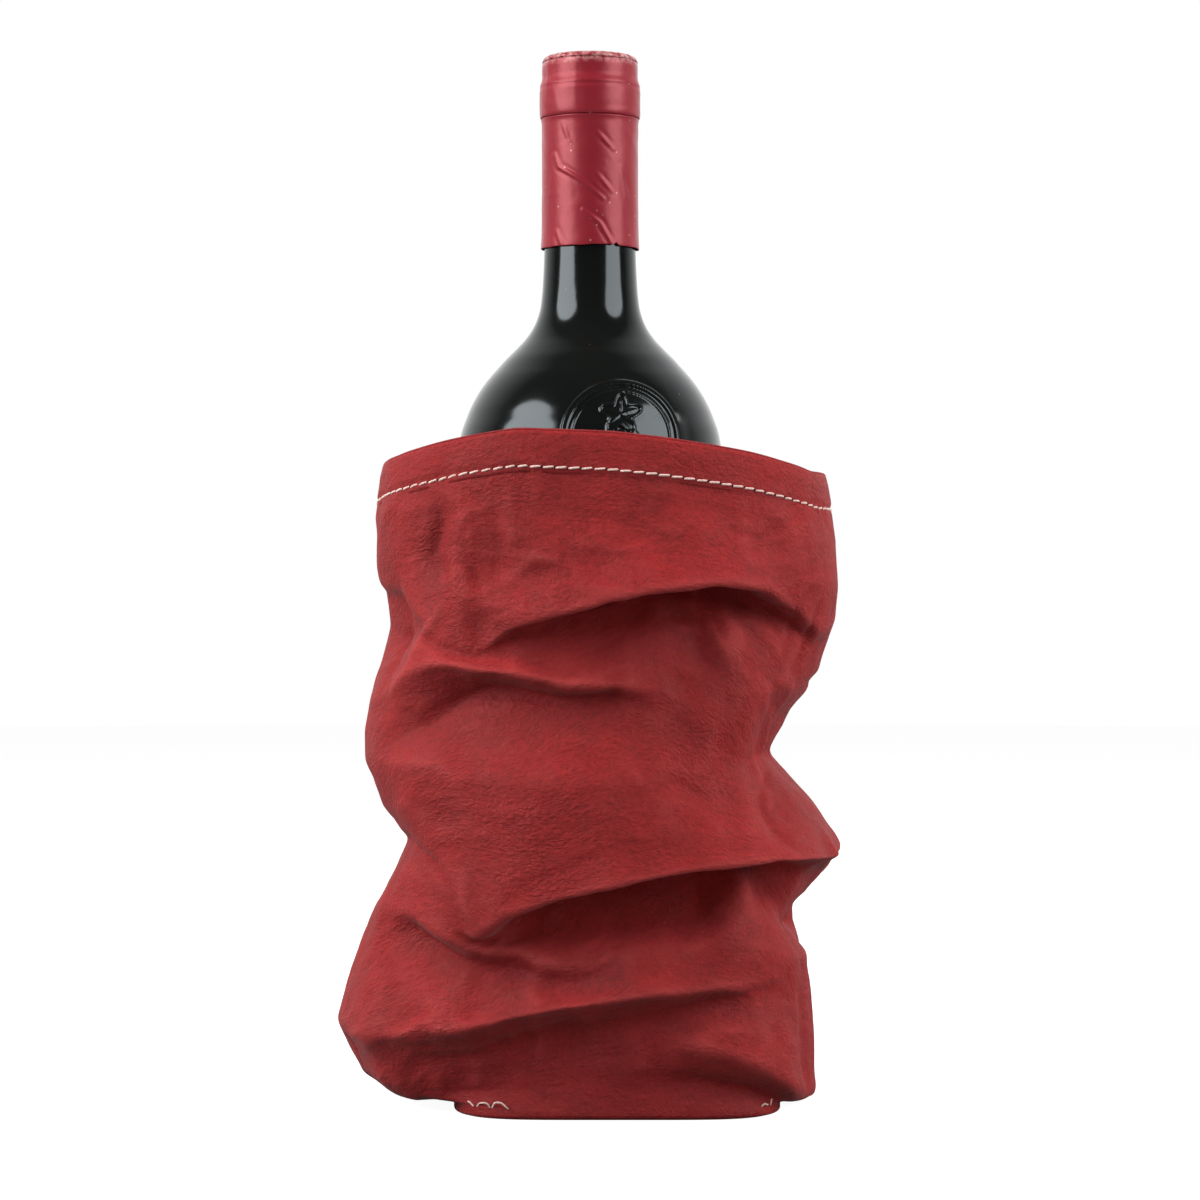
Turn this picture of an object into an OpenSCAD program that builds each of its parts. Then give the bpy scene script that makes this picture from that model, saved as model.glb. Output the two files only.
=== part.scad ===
// Wine gift bag of washable paper, pushed down round a standard 750 ml bottle.
// Millimetres, +Z up, the front faces -Y. The origin is under the middle of the base.

/* [Bag] */
// Height of the rim above the table while the bag is pushed down
rim_h = 196; // [192:1:202]
// Reach of the widest fold on each side of the bottle's axis
belly_reach = 75; // [73:1:78]
// Width of the plain sleeve that the collar slides on
waist_w = 105; // [103:1:106]
// Depth of the bag at its widest fold
belly_d = 120; // [116:1:124]
// Width of the sewn base
base_w = 98; // [96:1:100]
// How far the sewn base sits to the right of the bottle's axis
base_shift = 6; // [4:0.5:7]
// Thickness of the washable paper
paper_t = 0.9; // [0.7:0.1:1.0]

/* [Sewing] */
// Depth of the turned-in hem
hem_d = 12; // [10:0.5:14]
// Distance from one stitch to the next
stitch_pitch = 3.7; // [3.2:0.1:4.5]
// Length of thread that shows in one stitch
stitch_len = 2.9; // [2.4:0.1:3.1]
// Thickness of the thread
thread_t = 0.5; // [0.3:0.1:0.6]

/* [Bottle] */
// Height of the glass
bottle_h = 310; // [306:1:314]
// Radius of the bottle's body
body_r = 40; // [39:0.5:40.5]
// Radius of the neck where the shoulder meets it
neck_r = 14.5; // [14:0.1:14.8]
// Radius of the mouth's bore, which holds the cork
bore_r = 9.25; // [9.2:0.05:9.4]
// Length of the cork
cork_l = 45; // [38:1:49]
// Length of the capsule below the ring
skirt_l = 39; // [34:1:42]
// Height of the wine's surface above the table
wine_z = 250; // [244:1:252]

/* [Hidden] */

paper_red = [0.55, 0.13, 0.14];
thread_cream = [0.93, 0.82, 0.74];
foil_red = [0.62, 0.16, 0.22];
glass_black = [0.03, 0.035, 0.03];
wine_red = [0.20, 0.01, 0.04];
cork_tan = [0.72, 0.53, 0.34];

half_points = 24;    // facets on one panel
seam_gap = 0.1;      // half the gap between the two panels at a side seam
sewn_allow = 7;      // seam allowance turned into the bag
base_d = 100;        // depth of the sewn base
base_squareness = 5; // exponent of the base's outline, which is nearly a rectangle
waist_d = 90;
waist_squareness = 2.4;
fold_squareness = 2.6;
body_gap = 0.1;      // gap between the base panel and the bottle that stands on it

// One level of a sleeve: [height, leftmost, rightmost, depth, squareness, seam allowance].
// The folds lean left and right in turn, as the paper has crumpled.
base_left = base_shift - base_w / 2;
base_right = base_shift + base_w / 2;
lower_levels = [
    [paper_t + 0.1, base_left, base_right, base_d, base_squareness, 0.6],
    [3.5, base_left, base_right, base_d + 0.5, base_squareness, 0.6],
    [10, -66, 61, belly_d - 9, 3.2, sewn_allow],
    [22, -belly_reach, 66, belly_d, fold_squareness, sewn_allow],
    [40, -71, 64, belly_d - 5, fold_squareness, sewn_allow],
    [54, -63, 58, belly_d - 16, fold_squareness, sewn_allow],
    [63, -waist_w / 2, waist_w / 2, waist_d, waist_squareness, sewn_allow],
    [rim_h - 13, -waist_w / 2, waist_w / 2, waist_d, waist_squareness, sewn_allow]
];
collar_z0 = 66;
collar_levels = [
    [collar_z0, -57, 68, belly_d - 12, fold_squareness, 0],
    [collar_z0 + 12, -55.5, belly_reach, belly_d - 1, fold_squareness, 0],
    [collar_z0 + 24, -62, 67, belly_d - 4, fold_squareness, 0],
    [collar_z0 + 40, -68, 57, belly_d - 12, fold_squareness, 0],
    [collar_z0 + 54, -66, 63, belly_d - 9, fold_squareness, 0],
    [collar_z0 + 68, -61.5, 70, belly_d - 4, fold_squareness, 0],
    [collar_z0 + 86, -63, belly_reach - 1, belly_d - 2, fold_squareness, 0],
    [rim_h, -62.5, 70.5, belly_d - 8, fold_squareness, 0]
];

// ---- sections and lofts ----

function signed_power(x, e) = sign(x) * pow(abs(x), e);

// A point of a rounded-square outline, w by d, at angle a.
function outline_point(w, d, n, a) =
    [w / 2 * signed_power(cos(a), 2 / n), d / 2 * signed_power(sin(a), 2 / n)];

// Points of the front half of a sleeve at one level: the outer wall from left to right, then the
// inner wall from left to right.
function wall_points(level, inset) =
    let (w = level[2] - level[1] - 2 * inset, middle = (level[1] + level[2]) / 2)
    [
        for (i = [0:half_points])
            let (p = outline_point(w, level[3] - 2 * inset, level[4], 180 + i * 180 / half_points))
            [middle + p[0], min(p[1], -seam_gap - inset)]
    ];

// Tips of the seam allowance, which is turned in at both ends: left far and near face, right near
// and far face.
function allowance_points(level) =
    let (left = level[1] + paper_t + level[5], right = level[2] - paper_t - level[5])
    [[left, -seam_gap - paper_t], [left, -seam_gap], [right, -seam_gap], [right, -seam_gap - paper_t]];

// A closed solid through one section at each level. The section is a strip of quadrilaterals: the
// wall, and the seam allowance at each end if it has one.
module loft(levels) {
    n = half_points;
    sewn = levels[0][5] > 0;
    per_level = 2 * (n + 1) + (sewn ? 4 : 0);
    points = [
        for (level = levels)
            for (p = concat(wall_points(level, 0), wall_points(level, paper_t), sewn ? allowance_points(level) : []))
                [p[0], p[1], level[0]]
    ];
    wall_quads = [for (i = [0:n - 1]) [i, i + 1, n + 2 + i, n + 1 + i]];
    tip = 2 * (n + 1);
    sewn_quads = [[0, n + 1, tip, tip + 1], [n, tip + 2, tip + 3, 2 * n + 1]];
    quads = concat(wall_quads, sewn ? sewn_quads : []);
    // The outline goes round the section once, so that each pair of neighbours bounds one side face.
    outer = [for (i = [0:n]) i];
    inner = [for (i = [2 * n + 1:-1:n + 1]) i];
    outline = sewn
        ? concat(outer, [tip + 2, tip + 3], inner, [tip, tip + 1])
        : concat(outer, inner);
    count = len(outline);
    top = (len(levels) - 1) * per_level;
    sides = [
        for (r = [0:len(levels) - 2]) for (i = [0:count - 1])
            let (a = r * per_level + outline[i], b = r * per_level + outline[(i + 1) % count])
            each [[a, a + per_level, b], [b, a + per_level, b + per_level]]
    ];
    polyhedron(
        points,
        concat(
            [for (q = quads) each [[q[0], q[1], q[2]], [q[0], q[2], q[3]]]],
            sides,
            [for (q = quads) each [[top + q[2], top + q[1], top + q[0]], [top + q[3], top + q[2], top + q[0]]]]
        ),
        convexity = 6
    );
}

// Value of one column of a list of levels at height z.
function at_height(levels, column, z) = lookup(z, [for (level = levels) [level[0], level[column]]]);

// Stitches set at even steps along a closed outline, lying on its outside.
module stitches_round(w, d, n, z) {
    fine = 360;
    outline = [for (i = [0:fine]) outline_point(w, d, n, i * 360 / fine)];
    run = [
        for (i = 0, s = 0; i <= fine; s = s + norm(outline[min(i + 1, fine)] - outline[i]), i = i + 1) [s, i]
    ];
    length = run[fine][0];
    count = floor(length / stitch_pitch);
    for (k = [0:count - 1]) {
        i = lookup((k + 0.5) * length / count, run);
        here = outline_point(w, d, n, i * 360 / fine);
        next = outline_point(w, d, n, (i + 0.5) * 360 / fine);
        turn = atan2(next[1] - here[1], next[0] - here[0]);
        translate([here[0], here[1], z])
            rotate([0, 0, turn])
                cube([stitch_len, thread_t, thread_t], center = true);
    }
}

// ---- the bag's lower half ----

module base_panel() {
    color(paper_red)
        linear_extrude(paper_t)
            translate([base_shift, 0])
                polygon([for (i = [0:47]) outline_point(base_w, base_d, base_squareness, i * 7.5)]);
}

module front_panel_lower() {
    color(paper_red) loft(lower_levels);
}

module back_panel_lower() {
    color(paper_red) mirror([0, 1, 0]) loft(lower_levels);
}

// Thread down one side seam: a run of stitches on each face of the doubled seam allowance.
module side_seam_stitches(side) {
    first_z = 16;
    last_z = rim_h - 18;
    count = floor((last_z - first_z) / stitch_pitch);
    color(thread_cream)
        for (k = [0:count - 1]) {
            z = first_z + k * stitch_pitch;
            x = at_height(lower_levels, side > 0 ? 2 : 1, z) - side * (paper_t + 0.7 * sewn_allow);
            for (face = [-1, 1])
                translate([x, face * (seam_gap + paper_t + thread_t / 2), z])
                    cube([thread_t, thread_t, stitch_len], center = true);
        }
}

module left_seam_stitches() {
    side_seam_stitches(-1);
}

module right_seam_stitches() {
    side_seam_stitches(1);
}

// The base is sewn in from inside; at each front corner a few stitches come through the front.
module base_seam_stitches() {
    inset = 2 * paper_t + 1.4;
    color(thread_cream) {
        translate([base_shift, 0, 0])
            stitches_round(base_w - 2 * inset, base_d - 2 * inset, base_squareness, paper_t + thread_t / 2);
        for (share = [-0.74, -0.65, -0.55, 0.68, 0.77]) {
            // The front face falls back towards each corner, and the stitch turns with it.
            back = pow(1 - pow(abs(share), base_squareness), 1 / base_squareness);
            slope = base_d / base_w * pow(abs(share) / back, base_squareness - 1);
            translate([base_shift + share * base_w / 2, -base_d / 2 * back, 3.1])
                rotate([0, 0, sign(share) * atan(slope)])
                    translate([0, -0.4 - thread_t / 2, 0])
                        cube([stitch_len, thread_t, thread_t], center = true);
        }
    }
}

// ---- the bag's collar ----

module front_panel_collar() {
    color(paper_red) loft(collar_levels);
}

module back_panel_collar() {
    color(paper_red) mirror([0, 1, 0]) loft(collar_levels);
}

// The paper that is turned in at the rim, as one ring inside the collar.
module hem_fold() {
    rim = collar_levels[len(collar_levels) - 1];
    middle = (rim[1] + rim[2]) / 2;
    inset = paper_t + 0.1;
    w = rim[2] - rim[1] - 2 * inset;
    d = rim[3] - 2 * inset;
    color(paper_red)
        translate([middle, 0, rim_h - hem_d])
            linear_extrude(hem_d)
                difference() {
                    polygon([for (i = [0:47]) outline_point(w, d, fold_squareness, i * 7.5)]);
                    polygon([
                        for (i = [0:47])
                            outline_point(w - 2 * paper_t, d - 2 * paper_t, fold_squareness, i * 7.5)
                    ]);
                }
}

module hem_stitches() {
    z = rim_h - hem_d + 1.5;
    left = at_height(collar_levels, 1, z);
    right = at_height(collar_levels, 2, z);
    d = at_height(collar_levels, 3, z);
    color(thread_cream)
        translate([(left + right) / 2, 0, 0])
            stitches_round(right - left + thread_t, d + thread_t, fold_squareness, z);
}

// ---- the bottle ----

foot_z = paper_t + body_gap;  // underside of the bottle
mouth_z = foot_z + bottle_h;  // top of the lip
lip_r = neck_r - 0.55;        // radius of the lip above the ring
ring_r = neck_r + 0.2;        // radius of the ring
ring_h = 11;
ring_top = mouth_z - 7.4;
ring_bottom = ring_top - ring_h;
heel_r = 5;
wall_t = 5.1;
neck_wall_t = 4.4;
shoulder_r = 48;              // radius of the shoulder's outward curve
sweep_r = 16;                 // radius of the curve into the neck
shoulder_z = 186;             // height at which the shoulder leaves the straight body
// The two curves are joined by a straight stretch at 45 degrees, which fixes the upper one's height.
sweep_z = shoulder_z + shoulder_r * sin(45)
    + (body_r - shoulder_r + shoulder_r * cos(45)) - (neck_r + sweep_r - sweep_r * cos(45))
    + sweep_r * sin(45);

function arc_points(centre, r, from, to, steps) =
    [for (i = [0:steps]) let (a = from + (to - from) * i / steps) centre + r * [cos(a), sin(a)]];

// Outside of the glass from the heel up to the lip, grown by grow.
function glass_outside(grow = 0) = concat(
    arc_points([body_r - heel_r, foot_z + heel_r], heel_r + grow, -90, 0, 5),
    arc_points([body_r - shoulder_r, shoulder_z], shoulder_r + grow, 0, 45, 9),
    arc_points([neck_r + sweep_r, sweep_z], sweep_r - grow, 225, 180, 7),
    [
        [neck_r + grow, ring_bottom - skirt_l],
        [lip_r + grow, ring_bottom],
        [ring_r + grow, ring_bottom + 0.8],
        [ring_r + grow, ring_top - 0.8],
        [lip_r + grow, ring_top]
    ],
    arc_points([lip_r - 1.6, mouth_z - 1.6], 1.6 + grow, 0, 90, 4)
);

// Inside of the glass from the bore down to the middle of the punt, shrunk by gap.
function glass_inside(gap = 0) = concat(
    [[bore_r - gap, mouth_z], [bore_r - gap, mouth_z - cork_l - 4], [bore_r + 0.5 - gap, sweep_z + 12]],
    arc_points([neck_r + sweep_r, sweep_z], sweep_r + neck_wall_t + gap, 180, 225, 7),
    arc_points([body_r - shoulder_r, shoulder_z], shoulder_r - wall_t - gap, 45, 0, 9),
    arc_points([body_r - wall_t - 5, foot_z + 13], 5 - gap, 0, -90, 4),
    [[27, foot_z + 9 + gap], [18, foot_z + 24 + gap], [0, foot_z + 36 + gap]]
);

// A generic embossed seal on the shoulder: a raised ring round a bunch of grapes.
module shoulder_seal() {
    seal_r = 17.5;
    seal_rim = 1.3;
    grape_r = 2.1;
    raise = 0.6;
    intersection() {
        rotate_extrude($fn = 96)
            difference() {
                polygon(concat([[0, foot_z]], glass_outside(raise), [[0, mouth_z]]));
                polygon(concat([[0, foot_z - 1]], glass_outside(-1), [[0, mouth_z + 1]]));
            }
        translate([9, 0, 195])
            rotate([90, 0, 0])
                union() {
                    difference() {
                        cylinder(r = seal_r, h = body_r + 5, $fn = 64);
                        translate([0, 0, -1]) cylinder(r = seal_r - seal_rim, h = body_r + 7, $fn = 64);
                    }
                    for (row = [0:3])
                        for (i = [0:3 - row])
                            translate([(i - (3 - row) / 2) * 2.1 * grape_r, 4 - row * 1.9 * grape_r, 0])
                                cylinder(r = grape_r, h = body_r + 5, $fn = 24);
                }
    }
}

module bottle_glass() {
    punt = [[27, foot_z], [17, foot_z + 17], [0, foot_z + 29]];
    color(glass_black)
        union() {
            rotate_extrude($fn = 96) {
                polygon(concat(glass_outside(), glass_inside(), [punt[2], punt[1], punt[0]]));
            }
            shoulder_seal();
        }
}

module wine() {
    color(wine_red)
        rotate_extrude($fn = 96)
            intersection() {
                polygon(concat([[0, mouth_z]], glass_inside(0.05)));
                translate([0, foot_z]) square([body_r, wine_z - foot_z]);
            }
}

// ---- cork and capsule ----

foil_t = 0.3;

module cork() {
    cork_r = bore_r - 0.05;
    chamfer = 0.6;
    color(cork_tan)
        translate([0, 0, mouth_z - 0.5 - cork_l])
            union() {
                cylinder(r1 = cork_r - chamfer, r2 = cork_r, h = chamfer, $fn = 64);
                translate([0, 0, chamfer]) cylinder(r = cork_r, h = cork_l - 2 * chamfer, $fn = 64);
                translate([0, 0, cork_l - chamfer]) cylinder(r1 = cork_r, r2 = cork_r - chamfer, h = chamfer, $fn = 64);
            }
}

module capsule_skirt() {
    low = ring_bottom - skirt_l;
    high = ring_bottom - 0.3;
    gap = 0.05;
    color(foil_red)
        rotate_extrude($fn = 96)
            polygon([
                [neck_r + gap, low], [neck_r + gap + foil_t, low],
                [lip_r + gap + foil_t + 0.01, high], [lip_r + gap + 0.01, high]
            ]);
}

// The part of the capsule that a foil cutter takes off: the ring's wall and the lip's wall.
module capsule_crown() {
    ring_in = ring_r + 0.1;
    lip_in = lip_r + 0.15;
    low = ring_bottom + 0.2;
    color(foil_red)
        union() {
            translate([0, 0, low])
                difference() {
                    cylinder(r = ring_in + foil_t, h = ring_h, $fn = 96);
                    translate([0, 0, -1]) cylinder(r = ring_in, h = ring_h + 2, $fn = 96);
                }
            translate([0, 0, low + ring_h - foil_t])
                difference() {
                    cylinder(r = ring_in + foil_t, h = foil_t, $fn = 96);
                    translate([0, 0, -1]) cylinder(r = lip_in, h = foil_t + 2, $fn = 96);
                }
            translate([0, 0, low + ring_h - foil_t])
                difference() {
                    cylinder(r = lip_in + foil_t, h = mouth_z - low - ring_h + foil_t, $fn = 96);
                    translate([0, 0, -1]) cylinder(r = lip_in, h = mouth_z, $fn = 96);
                }
        }
}

// The crimped disc that closes the top of the capsule.
module capsule_disc() {
    color(foil_red)
        translate([0, 0, mouth_z + 0.1])
            cylinder(r = lip_r + 0.15 + foil_t, h = foil_t, $fn = 96);
}

base_panel();
front_panel_lower();
back_panel_lower();
left_seam_stitches();
right_seam_stitches();
base_seam_stitches();
front_panel_collar();
back_panel_collar();
hem_fold();
hem_stitches();
bottle_glass();
wine();
capsule_skirt();
cork();
capsule_crown();
capsule_disc();
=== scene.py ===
# %% [markdown]
# # A red paper gift bag, pushed down round a bottle of wine
#
# The bag is a tall sleeve of washable paper, the tough red-brown sheet that looks like
# leather. Pushed down round a bottle it buckles into thick lips and hollows. This lesson
# builds it in the order in which it is made: the crumpled side panels, the hem, the
# sewing, the base, and then the bottle with its capsule and cork.
#
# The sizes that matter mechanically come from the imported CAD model, so it is loaded first.

# %% Load the frame
import math
import bpy
import numpy as np
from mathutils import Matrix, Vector


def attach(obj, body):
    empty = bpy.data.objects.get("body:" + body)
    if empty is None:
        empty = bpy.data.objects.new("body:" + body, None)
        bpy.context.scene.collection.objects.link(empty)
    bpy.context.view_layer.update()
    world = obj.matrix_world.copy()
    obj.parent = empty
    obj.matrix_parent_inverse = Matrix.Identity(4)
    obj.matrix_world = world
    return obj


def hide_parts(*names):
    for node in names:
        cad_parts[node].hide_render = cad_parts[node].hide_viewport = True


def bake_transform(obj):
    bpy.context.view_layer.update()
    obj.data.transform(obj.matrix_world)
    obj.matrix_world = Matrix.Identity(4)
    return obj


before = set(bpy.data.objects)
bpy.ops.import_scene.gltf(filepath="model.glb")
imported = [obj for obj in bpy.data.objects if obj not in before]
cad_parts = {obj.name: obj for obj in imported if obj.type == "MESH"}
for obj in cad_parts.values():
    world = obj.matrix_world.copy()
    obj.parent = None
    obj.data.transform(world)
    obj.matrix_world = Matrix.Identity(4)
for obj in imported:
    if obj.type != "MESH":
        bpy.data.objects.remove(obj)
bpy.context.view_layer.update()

MM = 0.001

# %% [markdown]
# ## Helpers
#
# Every piece is worked out in millimetres with numpy and becomes a mesh in metres at the
# very end. A piece of paper is a grid of points, so one helper turns a grid into faces,
# and another gives a grid its thickness.

# %% From points to an object
def make_piece(name, points, faces, materials, uv=None):
    """A mesh object at the origin from points in millimetres."""
    mesh = bpy.data.meshes.new(name)
    mesh.from_pydata((np.asarray(points) * MM).tolist(), [], faces)
    mesh.polygons.foreach_set("use_smooth", [True] * len(mesh.polygons))
    for material in materials:
        mesh.materials.append(material)
    if uv is not None:
        corner = np.zeros(len(mesh.loops), np.int32)
        mesh.loops.foreach_get("vertex_index", corner)
        layer = mesh.uv_layers.new(name="Sheet")
        layer.data.foreach_set("uv", (np.asarray(uv)[corner] * MM).astype(np.float32).ravel())
    mesh.update()
    piece = bpy.data.objects.new(name, mesh)
    bpy.context.collection.objects.link(piece)
    print("%s: %d faces" % (name, len(faces)))
    return piece


def grid_faces(across, up, closed=False, start=0):
    """The four-sided faces of a grid whose point (i, j) is number i * up + j."""
    number = np.arange(across * up).reshape(across, up) + start
    if closed:
        number = np.vstack([number, number[:1]])
    a, b, c, d = number[:-1, :-1], number[1:, :-1], number[1:, 1:], number[:-1, 1:]
    return np.stack([a, b, c, d], -1).reshape(-1, 4).tolist()


def grid_normals(grid, closed=False):
    """The direction in which each point of a grid faces."""
    if closed:
        along = np.roll(grid, -1, 0) - np.roll(grid, 1, 0)
    else:
        along = np.gradient(grid, axis=0)
    normal = np.cross(along, np.gradient(grid, axis=1))
    return normal / np.maximum(np.linalg.norm(normal, axis=2, keepdims=True), 1e-9)


# %% [markdown]
# ## Material effects
#
# The paper, the foil and the glass share some effects: a net of fine creases, a soft
# mottle, and small specks. Each is a node group with named inputs, made once, and each
# finish places it with its own values. The lighting part of a finish, its Principled
# BSDF, stays in the material.

# %% Node helpers
def add_node(tree, kind, values=None, **settings):
    """A node with its settings and its inputs; an input may be a number or another node's output."""
    made = tree.nodes.new(kind)
    for name, value in settings.items():
        setattr(made, name, value)
    for name, value in (values or {}).items():
        if isinstance(value, bpy.types.NodeSocket):
            tree.links.new(value, made.inputs[name])
        else:
            made.inputs[name].default_value = value
    return made


def start_group(name, inputs, outputs, kind="ShaderNodeTree"):
    """An empty node group with named sockets, and its two end nodes."""
    tree = bpy.data.node_groups.new(name, kind)
    for direction, sockets in (("INPUT", inputs), ("OUTPUT", outputs)):
        for label, socket, value in sockets:
            item = tree.interface.new_socket(label, in_out=direction, socket_type="NodeSocket" + socket)
            if value is not None:
                item.default_value = value
    return tree, tree.nodes.new("NodeGroupInput").outputs, tree.nodes.new("NodeGroupOutput").inputs


# %% Creases, mottle and specks
def crease_net():
    """Fine irregular creases, as crushing leaves them: the crests of a ridged noise in a warped space."""
    tree, given, gives = start_group(
        "Crease net",
        [("Vector", "Vector", None), ("Creases per metre", "Float", 300.0), ("Sharpness", "Float", 2.2),
         ("Warp", "Float", 0.6)],
        [("Height", "Float", None)])
    noise = add_node(tree, "ShaderNodeTexNoise", {"Vector": given["Vector"], "Scale": 160.0, "Detail": 2.0})
    shift = add_node(tree, "ShaderNodeVectorMath", {0: noise.outputs["Color"], 1: (0.5, 0.5, 0.5)},
                     operation="SUBTRACT")
    scaled = add_node(tree, "ShaderNodeVectorMath", {0: given["Vector"], "Scale": given["Creases per metre"]},
                      operation="SCALE")
    warp = add_node(tree, "ShaderNodeVectorMath", {0: shift.outputs[0], "Scale": given["Warp"]},
                    operation="SCALE")
    moved = add_node(tree, "ShaderNodeVectorMath", {0: scaled.outputs[0], 1: warp.outputs[0]},
                     operation="ADD")
    total = None
    for octave, weight in ((1.0, 1.0), (2.3, 0.35), (4.9, 0.12)):
        wave = add_node(tree, "ShaderNodeTexNoise",
                        {"Vector": moved.outputs[0], "Scale": octave, "Detail": 0.0})
        centred = add_node(tree, "ShaderNodeMath", {0: wave.outputs["Fac"], 1: 0.5}, operation="SUBTRACT")
        folded = add_node(tree, "ShaderNodeMath", {0: centred.outputs[0]}, operation="ABSOLUTE")
        sharp = add_node(tree, "ShaderNodeMath", {0: folded.outputs[0], 1: given["Sharpness"]},
                         operation="MULTIPLY")
        part = add_node(tree, "ShaderNodeMath", {0: sharp.outputs[0], 1: weight, 2: 0.0},
                        operation="MULTIPLY_ADD")
        if total is not None:
            tree.links.new(total, part.inputs[2])
        total = part.outputs[0]
    tree.links.new(total, gives["Height"])
    return tree


def mottle():
    """A soft uneven tone, from 0 to 1."""
    tree, given, gives = start_group(
        "Mottle",
        [("Vector", "Vector", None), ("Patches per metre", "Float", 60.0), ("Contrast", "Float", 2.0)],
        [("Tone", "Float", None)])
    noise = add_node(tree, "ShaderNodeTexNoise",
                     {"Vector": given["Vector"], "Scale": given["Patches per metre"], "Detail": 4.0,
                      "Roughness": 0.6})
    centred = add_node(tree, "ShaderNodeMath", {0: noise.outputs["Fac"], 1: 0.5}, operation="SUBTRACT")
    tone = add_node(tree, "ShaderNodeMath", {0: centred.outputs[0], 1: given["Contrast"], 2: 0.5},
                    operation="MULTIPLY_ADD", use_clamp=True)
    tree.links.new(tone.outputs[0], gives["Tone"])
    return tree


def specks():
    """Small round specks, such as dust, on some of the cells of a grid."""
    tree, given, gives = start_group(
        "Specks",
        [("Vector", "Vector", None), ("Specks per metre", "Float", 400.0), ("Size", "Float", 0.12),
         ("Share", "Float", 0.2)],
        [("Mask", "Float", None)])
    cells = add_node(tree, "ShaderNodeTexVoronoi",
                     {"Vector": given["Vector"], "Scale": given["Specks per metre"]})
    near = add_node(tree, "ShaderNodeMath", {0: cells.outputs["Distance"], 1: given["Size"]},
                    operation="LESS_THAN")
    pick = add_node(tree, "ShaderNodeSeparateColor", {"Color": cells.outputs["Color"]})
    some = add_node(tree, "ShaderNodeMath", {0: pick.outputs["Red"], 1: given["Share"]},
                    operation="LESS_THAN")
    mask = add_node(tree, "ShaderNodeMath", {0: near.outputs[0], 1: some.outputs[0]}, operation="MULTIPLY")
    tree.links.new(mask.outputs[0], gives["Mask"])
    return tree


EFFECTS = {"Crease net": crease_net(), "Mottle": mottle(), "Specks": specks()}
print("effects:", ", ".join(EFFECTS))


# %% A material to start from
def start_material(name, **constants):
    """A material with only a Principled BSDF, whose constant inputs are set on the shader itself."""
    material = bpy.data.materials.new(name)
    material.use_nodes = True
    shader = material.node_tree.nodes["Principled BSDF"]
    for label, value in constants.items():
        shader.inputs[label.replace("_", " ")].default_value = value
    place = material.node_tree.nodes.new("ShaderNodeTexCoord")
    return material, material.node_tree, shader, place


def add_effect(tree, effect, vector, output=0, **values):
    """Place one of the shared effects, and return its output."""
    group = tree.nodes.new("ShaderNodeGroup")
    group.node_tree = EFFECTS[effect]
    tree.links.new(vector, group.inputs["Vector"])
    for label, value in values.items():
        group.inputs[label.replace("_", " ")].default_value = value
    return group.outputs[output]


def mix_colour(tree, share, first, second):
    """Blend two colours by a share from 0 to 1."""
    made = tree.nodes.new("ShaderNodeMix")
    made.data_type = "RGBA"
    for socket, value in ((made.inputs[0], share), (made.inputs[6], first), (made.inputs[7], second)):
        if isinstance(value, bpy.types.NodeSocket):
            tree.links.new(value, socket)
        else:
            socket.default_value = value
    return made.outputs[2]


def combine(tree, parts):
    """The sum of several outputs, each times a weight."""
    total = None
    for value, weight in parts:
        made = tree.nodes.new("ShaderNodeMath")
        made.operation = "MULTIPLY_ADD"
        tree.links.new(value, made.inputs[0])
        made.inputs[1].default_value = weight
        if total is None:
            made.inputs[2].default_value = 0.0
        else:
            tree.links.new(total, made.inputs[2])
        total = made.outputs[0]
    return total


def add_bump(tree, shader, height, distance, strength=1.0):
    """Let a height, in units of distance metres, tilt the surface."""
    bump = tree.nodes.new("ShaderNodeBump")
    bump.inputs["Distance"].default_value = distance
    bump.inputs["Strength"].default_value = strength
    tree.links.new(height, bump.inputs["Height"])
    tree.links.new(bump.outputs["Normal"], shader.inputs["Normal"])
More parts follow.
